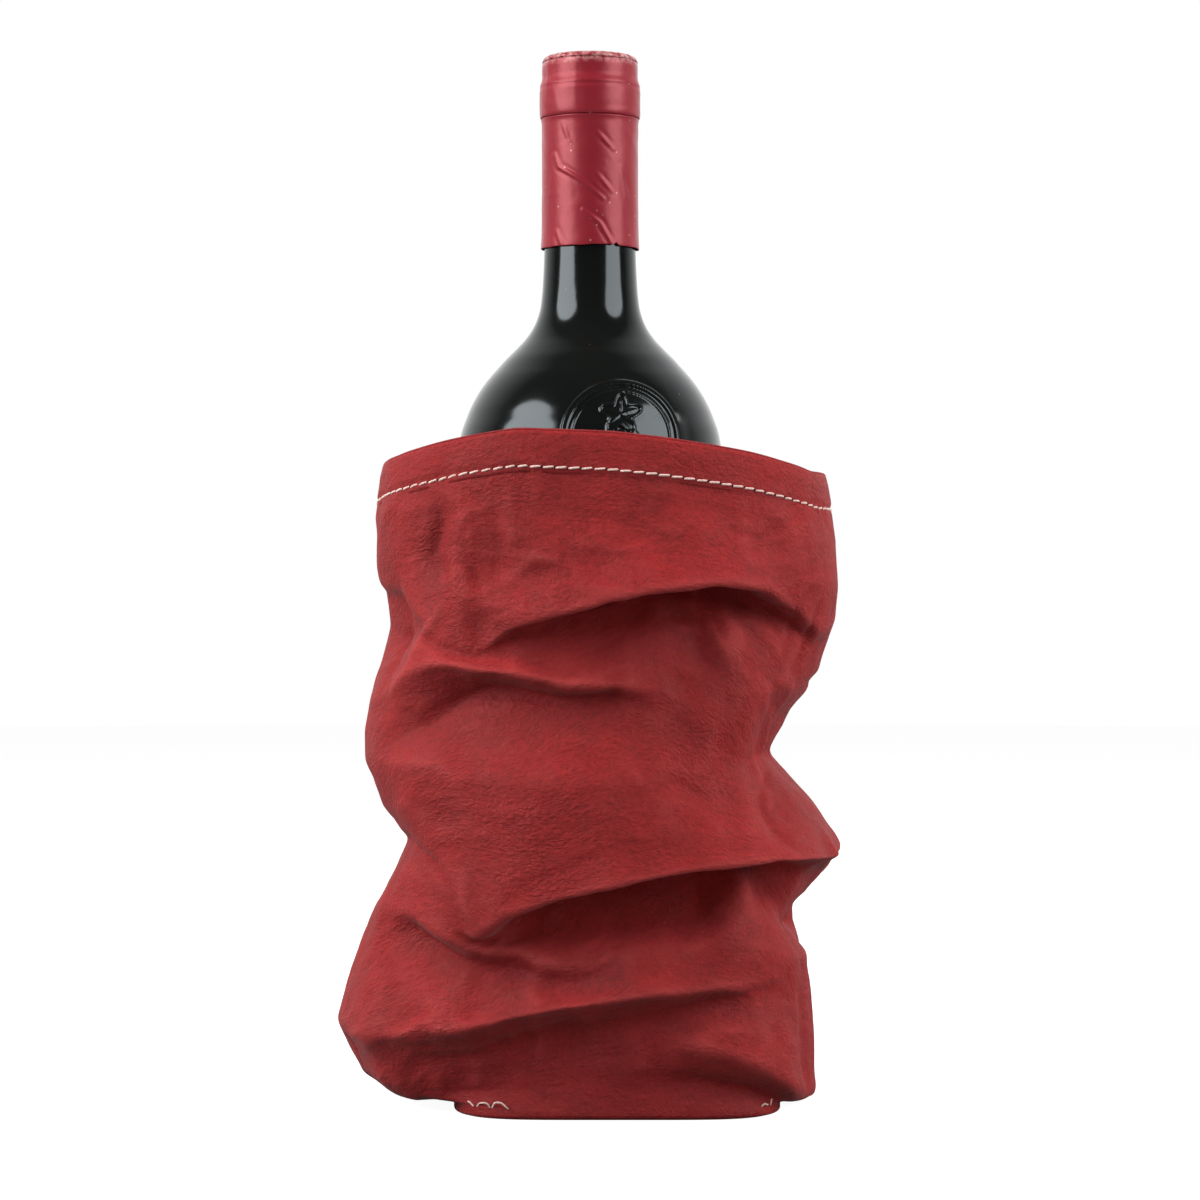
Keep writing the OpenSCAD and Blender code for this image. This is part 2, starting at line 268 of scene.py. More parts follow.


# %% [markdown]
# ## The washable paper
#
# Washable paper is cellulose with a latex binder. Crumpled and smoothed again it keeps a
# net of fine wrinkles, like leather. Its colour is a deep brick red, lighter where
# the surface is rubbed along the folds and on the tops of the wrinkles, and darker
# along the fine crease lines in patches: painted shade in the creases. The pattern
# follows the sheet's own coordinates, so it bends with the folds.

# %% Paper
def washable_paper():
    material, tree, shader, place = start_material(
        "Washable paper, brick red", Roughness=0.7, Specular_IOR_Level=0.42, Sheen_Weight=0.08,
        Sheen_Roughness=0.4)
    # creases lie mostly across the bag, so the pattern is squeezed from top to bottom
    squeezed = add_node(tree, "ShaderNodeMapping", {"Vector": place.outputs["UV"], "Scale": (1.0, 1.7, 1.0)})
    sheet, level = place.outputs["UV"], squeezed.outputs["Vector"]
    small = add_effect(tree, "Crease net", level, Creases_per_metre=420.0, Sharpness=2.4, Warp=1.0)
    finest = add_effect(tree, "Crease net", level, Creases_per_metre=950.0, Sharpness=2.0, Warp=0.9)
    large = add_effect(tree, "Crease net", level, Creases_per_metre=110.0, Sharpness=2.0, Warp=0.8)
    patches = add_effect(tree, "Mottle", sheet, Patches_per_metre=42.0, Contrast=5.0)
    tone = add_effect(tree, "Mottle", sheet, Patches_per_metre=75.0, Contrast=2.2)
    felt = add_effect(tree, "Mottle", sheet, Patches_per_metre=620.0, Contrast=2.8)
    fibre = add_effect(tree, "Mottle", sheet, Patches_per_metre=1700.0, Contrast=2.2)
    rubbed = add_node(tree, "ShaderNodeAttribute", attribute_name="rubbed").outputs["Fac"]
    shade = combine(tree, [(tone, 0.38), (felt, 0.4), (fibre, 0.22)])
    deep = mix_colour(tree, shade, (0.172, 0.0048, 0.0055, 1), (0.392, 0.0175, 0.0185, 1))
    # painted shade: the colour darkens along the fine crease lines, only where the patches allow it
    crease = add_node(tree, "ShaderNodeMapRange", {"Value": small, "From Max": 0.15})
    crease_shade_limit = add_node(tree, "ShaderNodeMath", {0: patches, 1: -0.70, 2: 1.0}, operation="MULTIPLY_ADD")
    line = add_node(tree, "ShaderNodeMath", {0: crease.outputs["Result"], 1: crease_shade_limit.outputs[0]},
                    operation="MAXIMUM")
    # the crease lines take a darker red: painted shade in the creases
    lined = mix_colour(tree, line.outputs[0], (0.125, 0.0035, 0.0040, 1), deep)
    worn = mix_colour(tree, combine(tree, [(rubbed, 0.40)]), lined, (0.48, 0.055, 0.052, 1))
    tree.links.new(worn, shader.inputs["Base Color"])
    rough = add_node(tree, "ShaderNodeMapRange", {"Value": tone, "To Min": 0.60, "To Max": 0.75})
    tree.links.new(rough.outputs["Result"], shader.inputs["Roughness"])
    patchy = add_node(tree, "ShaderNodeMath", {0: small, 1: patches}, operation="MULTIPLY")
    relief = combine(tree, [(patchy.outputs[0], 0.75), (finest, 0.34), (large, 0.9), (felt, 0.36),
                            (fibre, 0.16)])
    add_bump(tree, shader, relief, 0.00030)
    return material


PAPER = washable_paper()
print("made", PAPER.name)

# %% [markdown]
# ## The crumpled sleeve
#
# The sleeve is drawn as a stack of closed rings, from the rim down to the base. Each ring
# follows one feature right round the bag: the edge of a lip, the bottom of a hollow, the
# crest of a ridge. A ring is a list of places round the bag with two values at each: its
# height, and how far it stands out from the plain oval plan. Where one ring stands out
# and the next one below lies far in at nearly the same height, the paper folds under
# itself.
#
# On the front a place is its distance to the right of the bottle's axis, and on the back
# it is the share of the way round from the right side to the left one.

# %% The plan of the sleeve and of its base
def oval(left, right, depth, squareness, count=7200):
    """A closed oval outline that starts at the back and goes by the left to the front."""
    turn = np.linspace(-np.pi, np.pi, count + 1)
    def power(v):
        return np.sign(v) * np.abs(v) ** (2 / squareness)
    x = (left + right) / 2 + (right - left) / 2 * power(np.sin(turn))
    y = -depth / 2 * power(np.cos(turn))
    run = np.concatenate([[0], np.cumsum(np.hypot(np.diff(x), np.diff(y)))])
    return x, y, run


LEFT, RIGHT = -62, 70
PLAN = oval(LEFT, RIGHT, 112, 2.5)
BASE = oval(-40, 56, 100, 5)
AROUND, UP = 300, 231
print("the sleeve is %.0f mm round, and its base %.0f mm" % (PLAN[2][-1], BASE[2][-1]))

# %% The rings of the folds
# (name, [(right of the axis, height, out), ...], [(share of the back in %, height, out), ...])
RINGS = [
    ("rim",
     [(-62, 187, 0), (-56.5, 190, 0), (-49, 192, 0), (-37.5, 194.5, 0), (-31, 195.5, 0), (-21, 197, 0),
      (-8.5, 196.5, 0), (6, 196, 0), (20, 194.5, 0), (34.5, 192.5, 0), (46.5, 190.5, 0), (56.5, 188, 0),
      (65, 185.5, 0), (70, 185.5, 0.5)],
     [(17, 187, 0), (33, 188, 0), (50, 190, 0), (67, 189, 0), (83, 188, 0)]),
    ("upper panel",
     [(-62, 174, 2), (-56.5, 174, 1.5), (-49, 174.5, 1.5), (-43, 175.5, 0), (-37.5, 177, 1), (-21, 177, 1),
      (6, 177, 1), (34.5, 173.5, 2), (56.5, 170, 2.5), (70, 166.5, 3)],
     [(17, 172, 1), (50, 175, 2), (83, 172, 1)]),
    ("above the upper lip",
     [(-62, 160, 1.5), (-56.5, 160.5, 1), (-49, 160, 0), (-43, 159.5, -1), (-37.5, 159.5, 1),
      (-31, 155.5, 0), (-21, 155.5, 1.5), (-8.5, 158.5, 3), (6, 161, 3), (20, 163, 4), (34.5, 164, 4),
      (46.5, 162.5, 4), (56.5, 158.5, 4), (65, 153, 4), (70, 151.5, 4)],
     [(17, 158, 2), (50, 160, 3), (83, 158, 2)]),
    ("upper lip",
     [(-62, 155, 1), (-56.5, 151.5, -0.5), (-49, 143.5, 1), (-43, 137, 1.5), (-37.5, 133.5, 1),
      (-31, 132.5, 1.5), (-21, 139, 4), (-8.5, 143.5, 6.5), (6, 147.5, 9.5), (20, 150.5, 10.5),
      (34.5, 152.5, 9.5), (46.5, 151, 7), (56.5, 145, 3), (65, 139, 2), (70, 142.5, 3)],
     [(17, 146, 5), (33, 142, 6), (50, 147, 5), (67, 152, 4), (83, 150, 3)]),
    ("hollow under the upper lip",
     [(-62, 151.5, -1.5), (-56.5, 147.5, -4), (-49, 141, -2), (-43, 135.5, 0.5), (-37.5, 133, 0.5),
      (-31, 131.5, 0.5), (-21, 139.5, -2), (-8.5, 145.5, -7), (6, 151, -12), (20, 155, -13.5),
      (34.5, 156.5, -13), (46.5, 154.5, -10), (56.5, 147, -6), (65, 136.5, -1), (70, 133.5, 1)],
     [(17, 146, -6), (33, 140, -8), (50, 146, -9), (67, 151, -8), (83, 148, -4)]),
    ("below the upper lip",
     [(-62, 141, -2.5), (-56.5, 137, -6), (-49, 135.5, 0), (-43, 133.5, 2), (-37.5, 131.5, 2.5),
      (-31, 130.5, 2.5), (-21, 133, 0), (-8.5, 134.5, -3.5), (6, 135.5, -5), (20, 137, -5),
      (34.5, 137.5, -4.5), (40.5, 139, 0), (46.5, 135.5, -4), (56.5, 133.5, -2), (65, 128.5, -2.5),
      (70, 127, -1)],
     [(17, 136, -3), (50, 135, -3), (83, 137, -2)]),
    ("left spur",
     [(-62, 117.5, 4), (-56.5, 122, 3), (-49, 128, 4.5), (-43, 130.5, 5), (-37.5, 130.5, 5),
      (-31, 128.5, 5), (-21, 127, 5), (-8.5, 124.5, 5), (6, 124, 3.5), (20, 123, 0.5), (34.5, 123, 0),
      (40.5, 123, 0.5), (46.5, 123, 0), (56.5, 123, -1.5), (65, 122, -5), (70, 121, -7)],
     [(17, 123, 2), (33, 120, 4), (50, 118, 4), (67, 121, 4), (83, 122, 4)]),
    ("under the left spur",
     [(-62, 109.5, 5.5), (-56.5, 108.5, 2.5), (-49, 111, -0.5), (-43, 116.5, -3.5), (-37.5, 121, -5),
      (-31, 124, -5.2), (-21, 123.5, -5), (-8.5, 121, -4), (6, 121.5, -3), (20, 117, 1), (34.5, 116.5, 1),
      (46.5, 115.5, -1), (56.5, 116, -8), (65, 114.5, -12), (70, 112.5, -13)],
     [(17, 117, -3), (33, 114, -4), (50, 112, -5), (67, 115, -4), (83, 115, 0)]),
    ("broad bulge",
     [(-62, 100.5, 5), (-56.5, 100.5, 3), (-49, 101, 4), (-43, 101.5, 4), (-37.5, 98.5, 4),
      (-21, 97.5, 5.5), (-8.5, 98, 6), (6, 98, 6), (20, 99, 5), (34.5, 100.5, 2), (46.5, 101, -6),
      (56.5, 103.5, -13), (65, 103, -16), (70, 103, -17)],
     [(17, 103, -10), (33, 100, -3), (50, 98, 3), (67, 100, 4), (83, 102, 4)]),
    ("foot of the bulge",
     [(-62, 88.5, -1), (-56.5, 88, 1), (-49, 87, 4), (-43, 84.5, 4), (-37.5, 80.5, 4.5), (-31, 77.5, 5.5),
      (-21, 78, 6.5), (-8.5, 78, 7), (6, 81, 7), (20, 84, 7), (34.5, 86, 6), (46.5, 87, 2), (56.5, 88, -3),
      (65, 88.5, -4), (70, 89, -4.5)],
     [(17, 88, -2), (33, 84, 2), (50, 82, 6), (67, 83, 4), (83, 86, 1)]),
    ("middle lip",
     [(-62, 80, -7), (-56.5, 81, -4), (-49, 78.5, 1), (-43, 75, 3.5), (-37.5, 69.5, 5), (-31, 49.5, 7),
      (-21, 58, 8.5), (-8.5, 63.5, 9), (6, 67, 10.5), (20, 70, 11.5), (34.5, 72.5, 12), (46.5, 74, 11.5),
      (56.5, 74, 10), (65, 73, 7.5), (70, 76.5, 5)],
     [(17, 70, 5), (33, 66, 6), (50, 64, 6), (67, 68, 6), (83, 76, 0)]),
    ("hollow under the middle lip",
     [(-62, 77.5, -8), (-56.5, 79, -7), (-49, 76.5, -3), (-43, 73.5, 0), (-37.5, 67.5, 3), (-31, 49.5, 2),
      (-21, 59.5, -7), (-8.5, 66, -13), (6, 70, -15.5), (20, 73.5, -16), (34.5, 76.5, -18),
      (46.5, 77.5, -17), (56.5, 75.5, -12), (65, 69, -3), (70, 68.5, 2)],
     [(17, 70, -8), (33, 67, -11), (50, 66, -13), (67, 69, -11), (83, 76, -7)]),
    ("below the middle lip",
     [(-62, 67.5, -4), (-56.5, 70.5, -2), (-49, 70.5, 2), (-43, 66, 3), (-37.5, 62, 4), (-31, 49.5, 2),
      (-21, 51.5, -4.5), (-8.5, 53.5, -8), (6, 55.5, -9), (20, 56.5, -9), (34.5, 57.5, -8), (40.5, 63, -5),
      (46.5, 68, -4), (56.5, 63, -12), (65, 59.5, -9), (70, 60, -7)],
     [(17, 58, -8), (33, 54, -4), (50, 52, -4), (67, 54, -5), (83, 60, -4)]),
    ("shelf",
     [(-62, 54, 3), (-56.5, 60, 3), (-49, 58.5, 4), (-43, 54.5, 5), (-37.5, 51, 5.5), (-31, 48.5, 5),
      (-21, 49, 0.5), (-8.5, 44.5, 3), (6, 48, 0), (20, 49, -1), (34.5, 50.5, 0), (40.5, 56, 1),
      (46.5, 58.5, 0), (56.5, 54.5, -3), (65, 53.5, -11), (70, 54, -14)],
     [(17, 44, 0), (33, 40, 3), (50, 40, 3), (67, 42, 2), (83, 46, 3)]),
    ("under the shelf",
     [(-62, 43.5, 7), (-56.5, 51.5, 4), (-49, 54.5, -1), (-43, 50.5, -2), (-37.5, 47, -2.5),
      (-31, 44, -2.5), (-21, 43.5, -3.5), (-8.5, 39.5, 0), (6, 41, 2.5), (20, 43.5, 2), (34.5, 45, 2),
      (40.5, 47.5, 3), (46.5, 49, 3), (56.5, 46.5, 1), (65, 45, -4), (70, 43.5, -6)],
     [(17, 34, -1), (33, 33, 0), (50, 33, 0), (67, 34, 0), (83, 37, 4)]),
    ("low ridge",
     [(-62, 23, 14), (-56.5, 22, 12), (-49, 23.5, 10), (-43, 25, 9), (-37.5, 26, 8), (-31, 27, 7.5),
      (-21, 30, 7), (-8.5, 33, 6.5), (6, 35, 6.5), (20, 37, 6.5), (34.5, 38, 6), (40.5, 38, 5),
      (46.5, 39, 3), (56.5, 41.5, 0), (65, 39, -4), (70, 36, -5)],
     [(17, 26, 2), (33, 24, 4), (50, 24, 4), (67, 24, 4), (83, 23, 8)]),
    ("groove",
     [(-62, 15, 11), (-56.5, 16, 6), (-49, 17, 3), (-43, 18, 0), (-37.5, 18.5, -2), (-31, 20, -3.5),
      (-21, 22.5, -4), (-8.5, 25.5, -4.5), (6, 28, -4.5), (20, 30, -4), (34.5, 34, 0.5), (40.5, 35, 1),
      (46.5, 36.5, 0.5), (56.5, 37.5, -1), (65, 34.5, -4), (70, 31.5, -4)],
     [(17, 20, -2), (33, 17, -3), (50, 16, -3), (67, 17, -2), (83, 17, 5)]),
    ("right lobe",
     [(-62, 6.5, 7), (-56.5, 9, 4), (-49, 9.5, 0), (-43, 11, -3), (-37.5, 12.5, -4.5), (-31, 13.5, -5.5),
      (-21, 15.5, -6), (-8.5, 17.5, -6), (6, 18.5, -6), (20, 21, -5), (28.5, 22.5, 3), (34.5, 20.5, 5),
      (40.5, 18.5, 6), (46.5, 15, 6), (56.5, 8.5, 4), (65, 4.5, -1), (70, 3.5, -3)],
     [(17, 12, -3), (33, 10, -5), (50, 9, -5), (67, 10, -4), (83, 10, 2)]),
    ("low hollow",
     [(-62, 3, 1), (-56.5, 4, -1.5), (-49, 4.5, -4), (-43, 6.5, -6), (-37.5, 7.5, -7), (-31, 8, -7),
      (-21, 9, -7), (-8.5, 9.5, -7), (6, 10, -7), (20, 10, -7), (28.5, 11.5, -6), (34.5, 11.5, -5),
      (46.5, 9, -4), (56.5, 4, -2), (65, 2, -3), (70, 1, -4)],
     [(17, 6, -5), (50, 6, -6), (83, 6, -2)]),
]
print(len(RINGS), "rings of folds")


# %% Lay a grid over the rings
def lay_sleeve():
    """A grid of AROUND x UP points over the rings, from the sewn base up to the rim."""
    x, y, run = PLAN
    whole = run[-1]
    at = np.arange(AROUND) / AROUND * whole
    plan = np.stack([np.interp(at, run, x), np.interp(at, run, y)], 1)
    along = np.roll(plan, -1, 0) - np.roll(plan, 1, 0)
    along /= np.linalg.norm(along, axis=1)[:, None]
    out = np.stack([along[:, 1], -along[:, 0]], 1)
    turn = np.linspace(-np.pi, np.pi, len(run))
    front = (turn >= -np.pi / 2) & (turn <= np.pi / 2)
    right_side = np.interp(np.pi / 2, turn, run)
    left_side = np.interp(-np.pi / 2, turn, run) + whole
    stack = []
    for name, fronts, backs in RINGS:
        places = [(np.interp(px, x[front], run[front]), z, o) for px, z, o in fronts]
        back_run = left_side - right_side
        places += [((right_side + share / 100 * back_run) % whole, z, o) for share, z, o in backs]
        s, z, o = np.array(sorted(places)).T
        wrapped = np.concatenate([s[-1:] - whole, s, s[:1] + whole])
        height = np.interp(at, wrapped, np.concatenate([z[-1:], z, z[:1]]))
        reach = np.interp(at, wrapped, np.concatenate([o[-1:], o, o[:1]]))
        stack.append(np.column_stack([plan + out * reach[:, None], height]))
    bx, by, brun = BASE
    base_at = np.arange(AROUND) / AROUND * brun[-1]
    base = np.stack([np.interp(base_at, brun, bx), np.interp(base_at, brun, by)], 1)
    for z in (3.2, 0.5):
        stack.append(np.column_stack([base, np.full(AROUND, z)]))
    stack = np.stack(stack[::-1], 1)
    for _ in range(1):
        stack[:, 2:] = 0.5 * stack[:, 2:] + 0.25 * (np.roll(stack, 1, 0) + np.roll(stack, -1, 0))[:, 2:]
    grid = np.zeros((AROUND, UP, 3))
    lengths = np.zeros(AROUND)
    for i, line in enumerate(stack):
        rise = np.concatenate([[0], np.cumsum(np.linalg.norm(np.diff(line, axis=0), axis=1))])
        lengths[i] = rise[-1]
        for k in range(3):
            grid[i, :, k] = np.interp(np.linspace(0, rise[-1], UP), rise, line[:, k])
    grid[:, 3:-1] = 0.5 * grid[:, 3:-1] + 0.25 * (grid[:, 2:-2] + grid[:, 4:])
    return grid, lengths, plan, out


guide, lengths, plan, plan_out = lay_sleeve()
print("flat height of the paper: %.0f to %.0f mm, %.0f on average"
      % (lengths.min(), lengths.max(), lengths.mean()))

# %% [markdown]
# ## Let the paper relax
#
# The rings give knife-sharp folds, and paper can't do that. It keeps its length, resists
# bending and can't pass through the bottle or the table. A few rounds of position-based
# relaxation, the method inside most cloth solvers, give the lips their thickness and let
# small buckles form where the paper is short of room. The rings still hold the broad
# shape. It is done here in numpy rather than with the Cloth modifier, because it takes
# seconds and gives the same result on every run.


# %% Relaxation
def blur(a, n):
    """The mean over a square of 2 n + 1 points, round the first axis and clamped on the second."""
    w = 2 * n + 1
    p = np.concatenate([a[-n:], a, a[:n]], 0)
    c = np.cumsum(np.concatenate([np.zeros_like(p[:1]), p], 0), 0)
    a1 = (c[w:] - c[:-w]) / w
    before = 2 * a1[:, :1] - a1[:, 1:n + 1][:, ::-1]
    after = 2 * a1[:, -1:] - a1[:, -n - 1:-1][:, ::-1]
    p = np.concatenate([before, a1, after], 1)
    c = np.cumsum(np.concatenate([np.zeros_like(p[:, :1]), p], 1), 1)
    return (c[:, w:] - c[:, :-w]) / w


def pull(a, b, rest, strength, push=0.2):
    """Correct pairs of points towards their distance in the flat sheet; short paper buckles instead."""
    d = b - a
    length = np.maximum(np.sqrt((d * d).sum(-1)), 1e-9)
    error = (length - rest) / length
    step = d * (strength * 0.5 * np.where(error < 0, error * push, error))[..., None]
    return a + step, b - step


def bottle_reach(z):
    """The bottle's outer radius at a height."""
    return np.interp(z, [0, 1, 6, 186, 199.5, 208.5, 217.5, 223.5, 229.5, 235.5, 240, 400],
                     [35, 36, 40, 40, 38.3, 34.5, 27.9, 22.2, 17.3, 15, 14.5, 14.5])


def relax(guide, lengths, rounds=14, hold=0.5, bend=0.12, seed=3):
    """Keep the sheet's lengths, round its folds, and keep it off the bottle and the table."""
    rng = np.random.default_rng(seed)
    x = guide.copy()
    noise = blur(blur(rng.normal(size=x.shape), 2), 2)
    x[:, 2:] += 0.2 * (noise / noise.std())[:, 2:]
    step_up = np.broadcast_to(((0.7 * lengths + 0.3 * lengths.mean()) / (UP - 1))[:, None], (AROUND, UP))
    at_base, at_belly = BASE[2][-1] / AROUND, PLAN[2][-1] / AROUND
    share = np.clip((np.arange(UP) - 2) / 18, 0, 1)
    step_round = np.broadcast_to(at_base + (at_belly - at_base) * share, (AROUND, UP))
    across = np.hypot(step_round, step_up)
    foot, held = guide[:, :2].copy(), blur(guide, 1)
    for _ in range(rounds):
        x += hold * (held - blur(x, 1))
        for _ in range(3):
            x[0::2], x[1::2] = pull(x[0::2], x[1::2], step_round[0::2], 1.0)
            a, b = pull(x[1::2], np.roll(x[0::2], -1, 0), step_round[1::2], 1.0)
            x[1::2], x[0::2] = a, np.roll(b, 1, 0)
            for s in (0, 1):
                n = (UP - s) // 2
                a, b = pull(x[:, s:s + 2 * n:2], x[:, s + 1:s + 2 * n:2], step_up[:, :n], 1.0)
                x[:, s:s + 2 * n:2], x[:, s + 1:s + 2 * n:2] = a, b
                for turn in (1, -1):
                    y = np.roll(x, -turn, 0)
                    a, b = pull(x[:, s:s + 2 * n:2], y[:, s + 1:s + 2 * n:2], across[:, :n], 0.5)
                    x[:, s:s + 2 * n:2] = a
                    y = np.roll(x, -turn, 0)
                    y[:, s + 1:s + 2 * n:2] = b
                    x = np.roll(y, turn, 0)
            bow = 0.5 * (np.roll(x, 1, 0) + np.roll(x, -1, 0)) - x
            x += bend * (bow - 0.5 * (np.roll(bow, 1, 0) + np.roll(bow, -1, 0)))
            bow = np.zeros_like(x)
            bow[:, 1:-1] = 0.5 * (x[:, 2:] + x[:, :-2]) - x[:, 1:-1]
            x[:, 1:-1] += bend * (bow[:, 1:-1] - 0.5 * (bow[:, 2:] + bow[:, :-2]))
            reach = np.hypot(x[..., 0], x[..., 1])
            least = bottle_reach(x[..., 2]) + 1.6
            x[..., :2] *= np.maximum(1, least / np.maximum(reach, 1))[..., None]
            x[:, 2:, 2] = np.maximum(x[:, 2:, 2], 0.6)
            x[:, :2] = foot
    return x


sleeve = relax(guide, lengths)
print("the relaxed sleeve is %.0f x %.0f x %.0f mm" % tuple(np.ptp(sleeve.reshape(-1, 3), axis=0)))

# %% [markdown]
# ## Crumple lines
#
# Between the big folds the paper carries short soft creases from the hand that crushed
# it. Some run where this bag has them and are drawn one by one, each as a line with a
# height and a width. The rest is a crumple noise: smooth random waves, folded up wherever
# they cross zero, which gives straight-sided little valleys as in crushed paper.

# %% Draw the creases
# [(right of the axis, height), ...], rise (below 0 it is a valley), half width
CREASES = [
    ([(-12, 174), (8, 171), (26, 160)], -0.9, 4.5),
    ([(-42, 175), (-45, 162), (-41.5, 153)], -2.0, 2.0),
    ([(-40, 163), (-35, 174), (-27, 175)], 0.7, 2.4),
    ([(-28, 174), (-24, 161)], -0.9, 2.0),
    ([(-35, 158), (-30.5, 151)], -1.5, 1.4),
    ([(-28, 160), (-26, 150), (-21, 145)], -0.7, 2.2),
    ([(-27, 152), (-15, 160.5), (-6, 158.5)], 1.0, 2.6),
    ([(-4, 166), (8, 162), (20, 165)], 0.8, 2.4),
    ([(37, 169), (49, 166), (58, 171)], -1.2, 2.0),
    ([(-55, 151), (-50.5, 141), (-56, 130), (-61, 122)], -1.7, 1.9),
    ([(-41, 149), (-48, 137), (-58, 121)], 1.4, 1.9),
    ([(-30, 170), (-31, 150)], 0.5, 4.0),
    ([(-37, 172), (-38, 152)], -0.5, 3.5),
    ([(2, 122), (14, 116), (24, 112)], 0.7, 4.0),
    ([(6, 124), (10, 110), (4, 100)], -0.5, 4.0),
    ([(20, 128), (12, 112)], -0.4, 3.0),
    ([(-62, 102), (-42, 101), (-36, 94)], 0.8, 3.5),
    ([(-37, 108), (-30, 92), (-24, 80)], -0.5, 5.0),
    ([(-20, 70), (2, 80), (22, 84)], 0.6, 5.0),
    ([(-35, 74), (-36, 63), (-32, 54)], 0.7, 3.0),
    ([(38, 143), (42, 133), (45, 125)], 0.8, 3.0),
    ([(44, 131), (52, 126), (56, 119)], -0.7, 3.0),
    ([(50, 147), (60, 126)], -0.6, 2.6),
    ([(55, 147), (62, 132)], 0.6, 2.4),
    ([(30, 112), (42, 104), (50, 102)], -0.5, 4.0),
    ([(40, 100), (50, 94), (58, 86)], 0.6, 4.0),
    ([(-50, 50), (-38, 42), (-24, 37)], 0.5, 4.0),
    ([(-14, 48), (-2, 44), (10, 46)], -0.5, 3.5),
    ([(14, 44), (26, 47), (36, 52)], 0.5, 3.5),
    ([(-10, 26), (-6, 16), (8, 10)], -0.5, 4.0),
    ([(12, 28), (16, 16), (26, 9)], 0.5, 4.0),
    ([(48, 30), (52, 20), (60, 12)], 0.6, 3.0),
    ([(55, 106), (50, 94), (50, 89), (53, 84), (61, 76)], -1.8, 1.7),
    ([(67, 149), (63, 136), (59, 125)], -1.3, 1.4),
    ([(61, 150), (58, 138), (55, 127)], -1.0, 1.4),
    ([(-40, 118), (-26, 121), (-8, 120)], -0.9, 2.2),
    ([(-9, 124), (4, 123.5), (7, 121)], 0.9, 1.6),
    ([(33, 144), (38, 134), (41, 127)], 1.7, 1.6),
    ([(29, 142), (34, 132), (38, 127)], -0.9, 1.6),
    ([(41, 127), (33, 133), (27, 141)], -0.6, 2.4),
    ([(-33, 50), (-38, 62), (-47, 74), (-55, 82)], 0.9, 2.0),
    ([(-28, 61), (-14, 70), (4, 76)], -0.5, 3.5),
    ([(-55, 118), (-40, 108), (-30, 106)], -0.7, 3.0),
    ([(-10, 112), (6, 106), (20, 92), (24, 82)], 0.5, 3.0),
    ([(-54, 92), (-44, 88), (-34, 80)], -0.6, 2.6),
    ([(36, 92), (24, 96), (12, 92)], -0.5, 3.0),
    ([(-60, 47), (-57, 36), (-59, 25)], -0.8, 2.0),
    ([(-49, 40), (-44, 32), (-46, 26)], 0.6, 2.4),
    ([(8, 188), (14, 178), (12, 168)], -0.4, 3.0),
    ([(30, 178), (40, 172), (52, 173)], -0.5, 3.0),
    ([(46, 180), (58, 168), (62, 157)], 0.6, 3.0),
    ([(-20, 182), (-24, 170), (-18, 160)], 0.4, 3.0),
]


def line_height(x, z, points, width):
    """1 on a crease line, falling to 0 beside it and towards its two ends."""
    lengths = [math.dist(a, b) for a, b in zip(points, points[1:])]
    best, where, start = np.full(x.shape, 1e9), np.zeros(x.shape), 0.0
    for (ax, az), (bx, bz), size in zip(points, points[1:], lengths):
        t = np.clip(((x - ax) * (bx - ax) + (z - az) * (bz - az)) / size ** 2, 0, 1)
        d = np.hypot(x - ax - t * (bx - ax), z - az - t * (bz - az))
        where = np.where(d < best, (start + t * size) / sum(lengths), where)
        best = np.minimum(best, d)
        start += size
    taper = np.sin(np.pi * np.clip(where, 0.02, 0.98)) ** 0.6
    return taper * np.exp(-np.abs(best / width) ** 1.1)


def smooth_waves(rng, cells_round, cells_up):
    """Smooth random waves over the sheet that close on themselves round it."""
    value = rng.normal(size=(cells_round, cells_up + 2))
    u = np.arange(AROUND) / AROUND * cells_round
    v = np.linspace(0, cells_up, UP)
    i, j = u.astype(int), v.astype(int)
    fu, fv = u - i, v - j
    fu, fv = (fu * fu * (3 - 2 * fu))[:, None], (fv * fv * (3 - 2 * fv))[None]
    i1, j1 = (i + 1) % cells_round, j + 1
    low = value[i][:, j] * (1 - fu) + value[i1][:, j] * fu
    high = value[i][:, j1] * (1 - fu) + value[i1][:, j1] * fu
    return low * (1 - fv) + high * fv


def crumple(sheet, seed=11):
    """Move the sheet along its own normals by the drawn creases and the crumple noise."""
    normal = blur(grid_normals(sheet, closed=True), 2)
    normal /= np.linalg.norm(normal, axis=2, keepdims=True)
    x, y, z = sheet[..., 0], sheet[..., 1], sheet[..., 2]
    facing = np.clip(-normal[..., 1] * 2.5 - 0.2, 0, 1) * (y < -10)
    turned = np.clip(normal[..., 1] * 2.5 - 0.2, 0, 1) * (y > 10)
    rise = np.zeros(x.shape)
    for points, height, width in CREASES:
        rise += height * line_height(x, z, points, width) * facing
        rise += height * line_height(-x, z + 7, points, 1.3 * width) * turned
    rng = np.random.default_rng(seed)
    for round_cells, up_cells, size in ((11, 7, 1.15), (19, 12, 0.9), (34, 21, 0.55), (61, 38, 0.26)):
        wave = smooth_waves(rng, round_cells, up_cells)
        strength = np.clip(0.62 + 0.6 * smooth_waves(rng, 7, 4), 0.25, 1.3)
        rise += size * strength * (0.55 - np.sqrt(wave ** 2 + 0.003))
    near_hem = np.clip((UP - 1 - np.arange(UP)) / 22, 0.12, 1) * np.clip((np.arange(UP) - 2) / 12, 0, 1)
    rise = np.clip(rise, -2.2, 1.7) * near_hem
    below = (UP - 1 - np.arange(UP)) * lengths.mean() / (UP - 1)
    rise += 0.3 * np.clip((10.6 - below) / 1.5, 0, 1) * np.clip(below / 3, 0, 1)
    rise -= 0.3 * np.exp(-((below - 10.4) / 0.9) ** 2)
    return sheet + normal * rise[..., None]


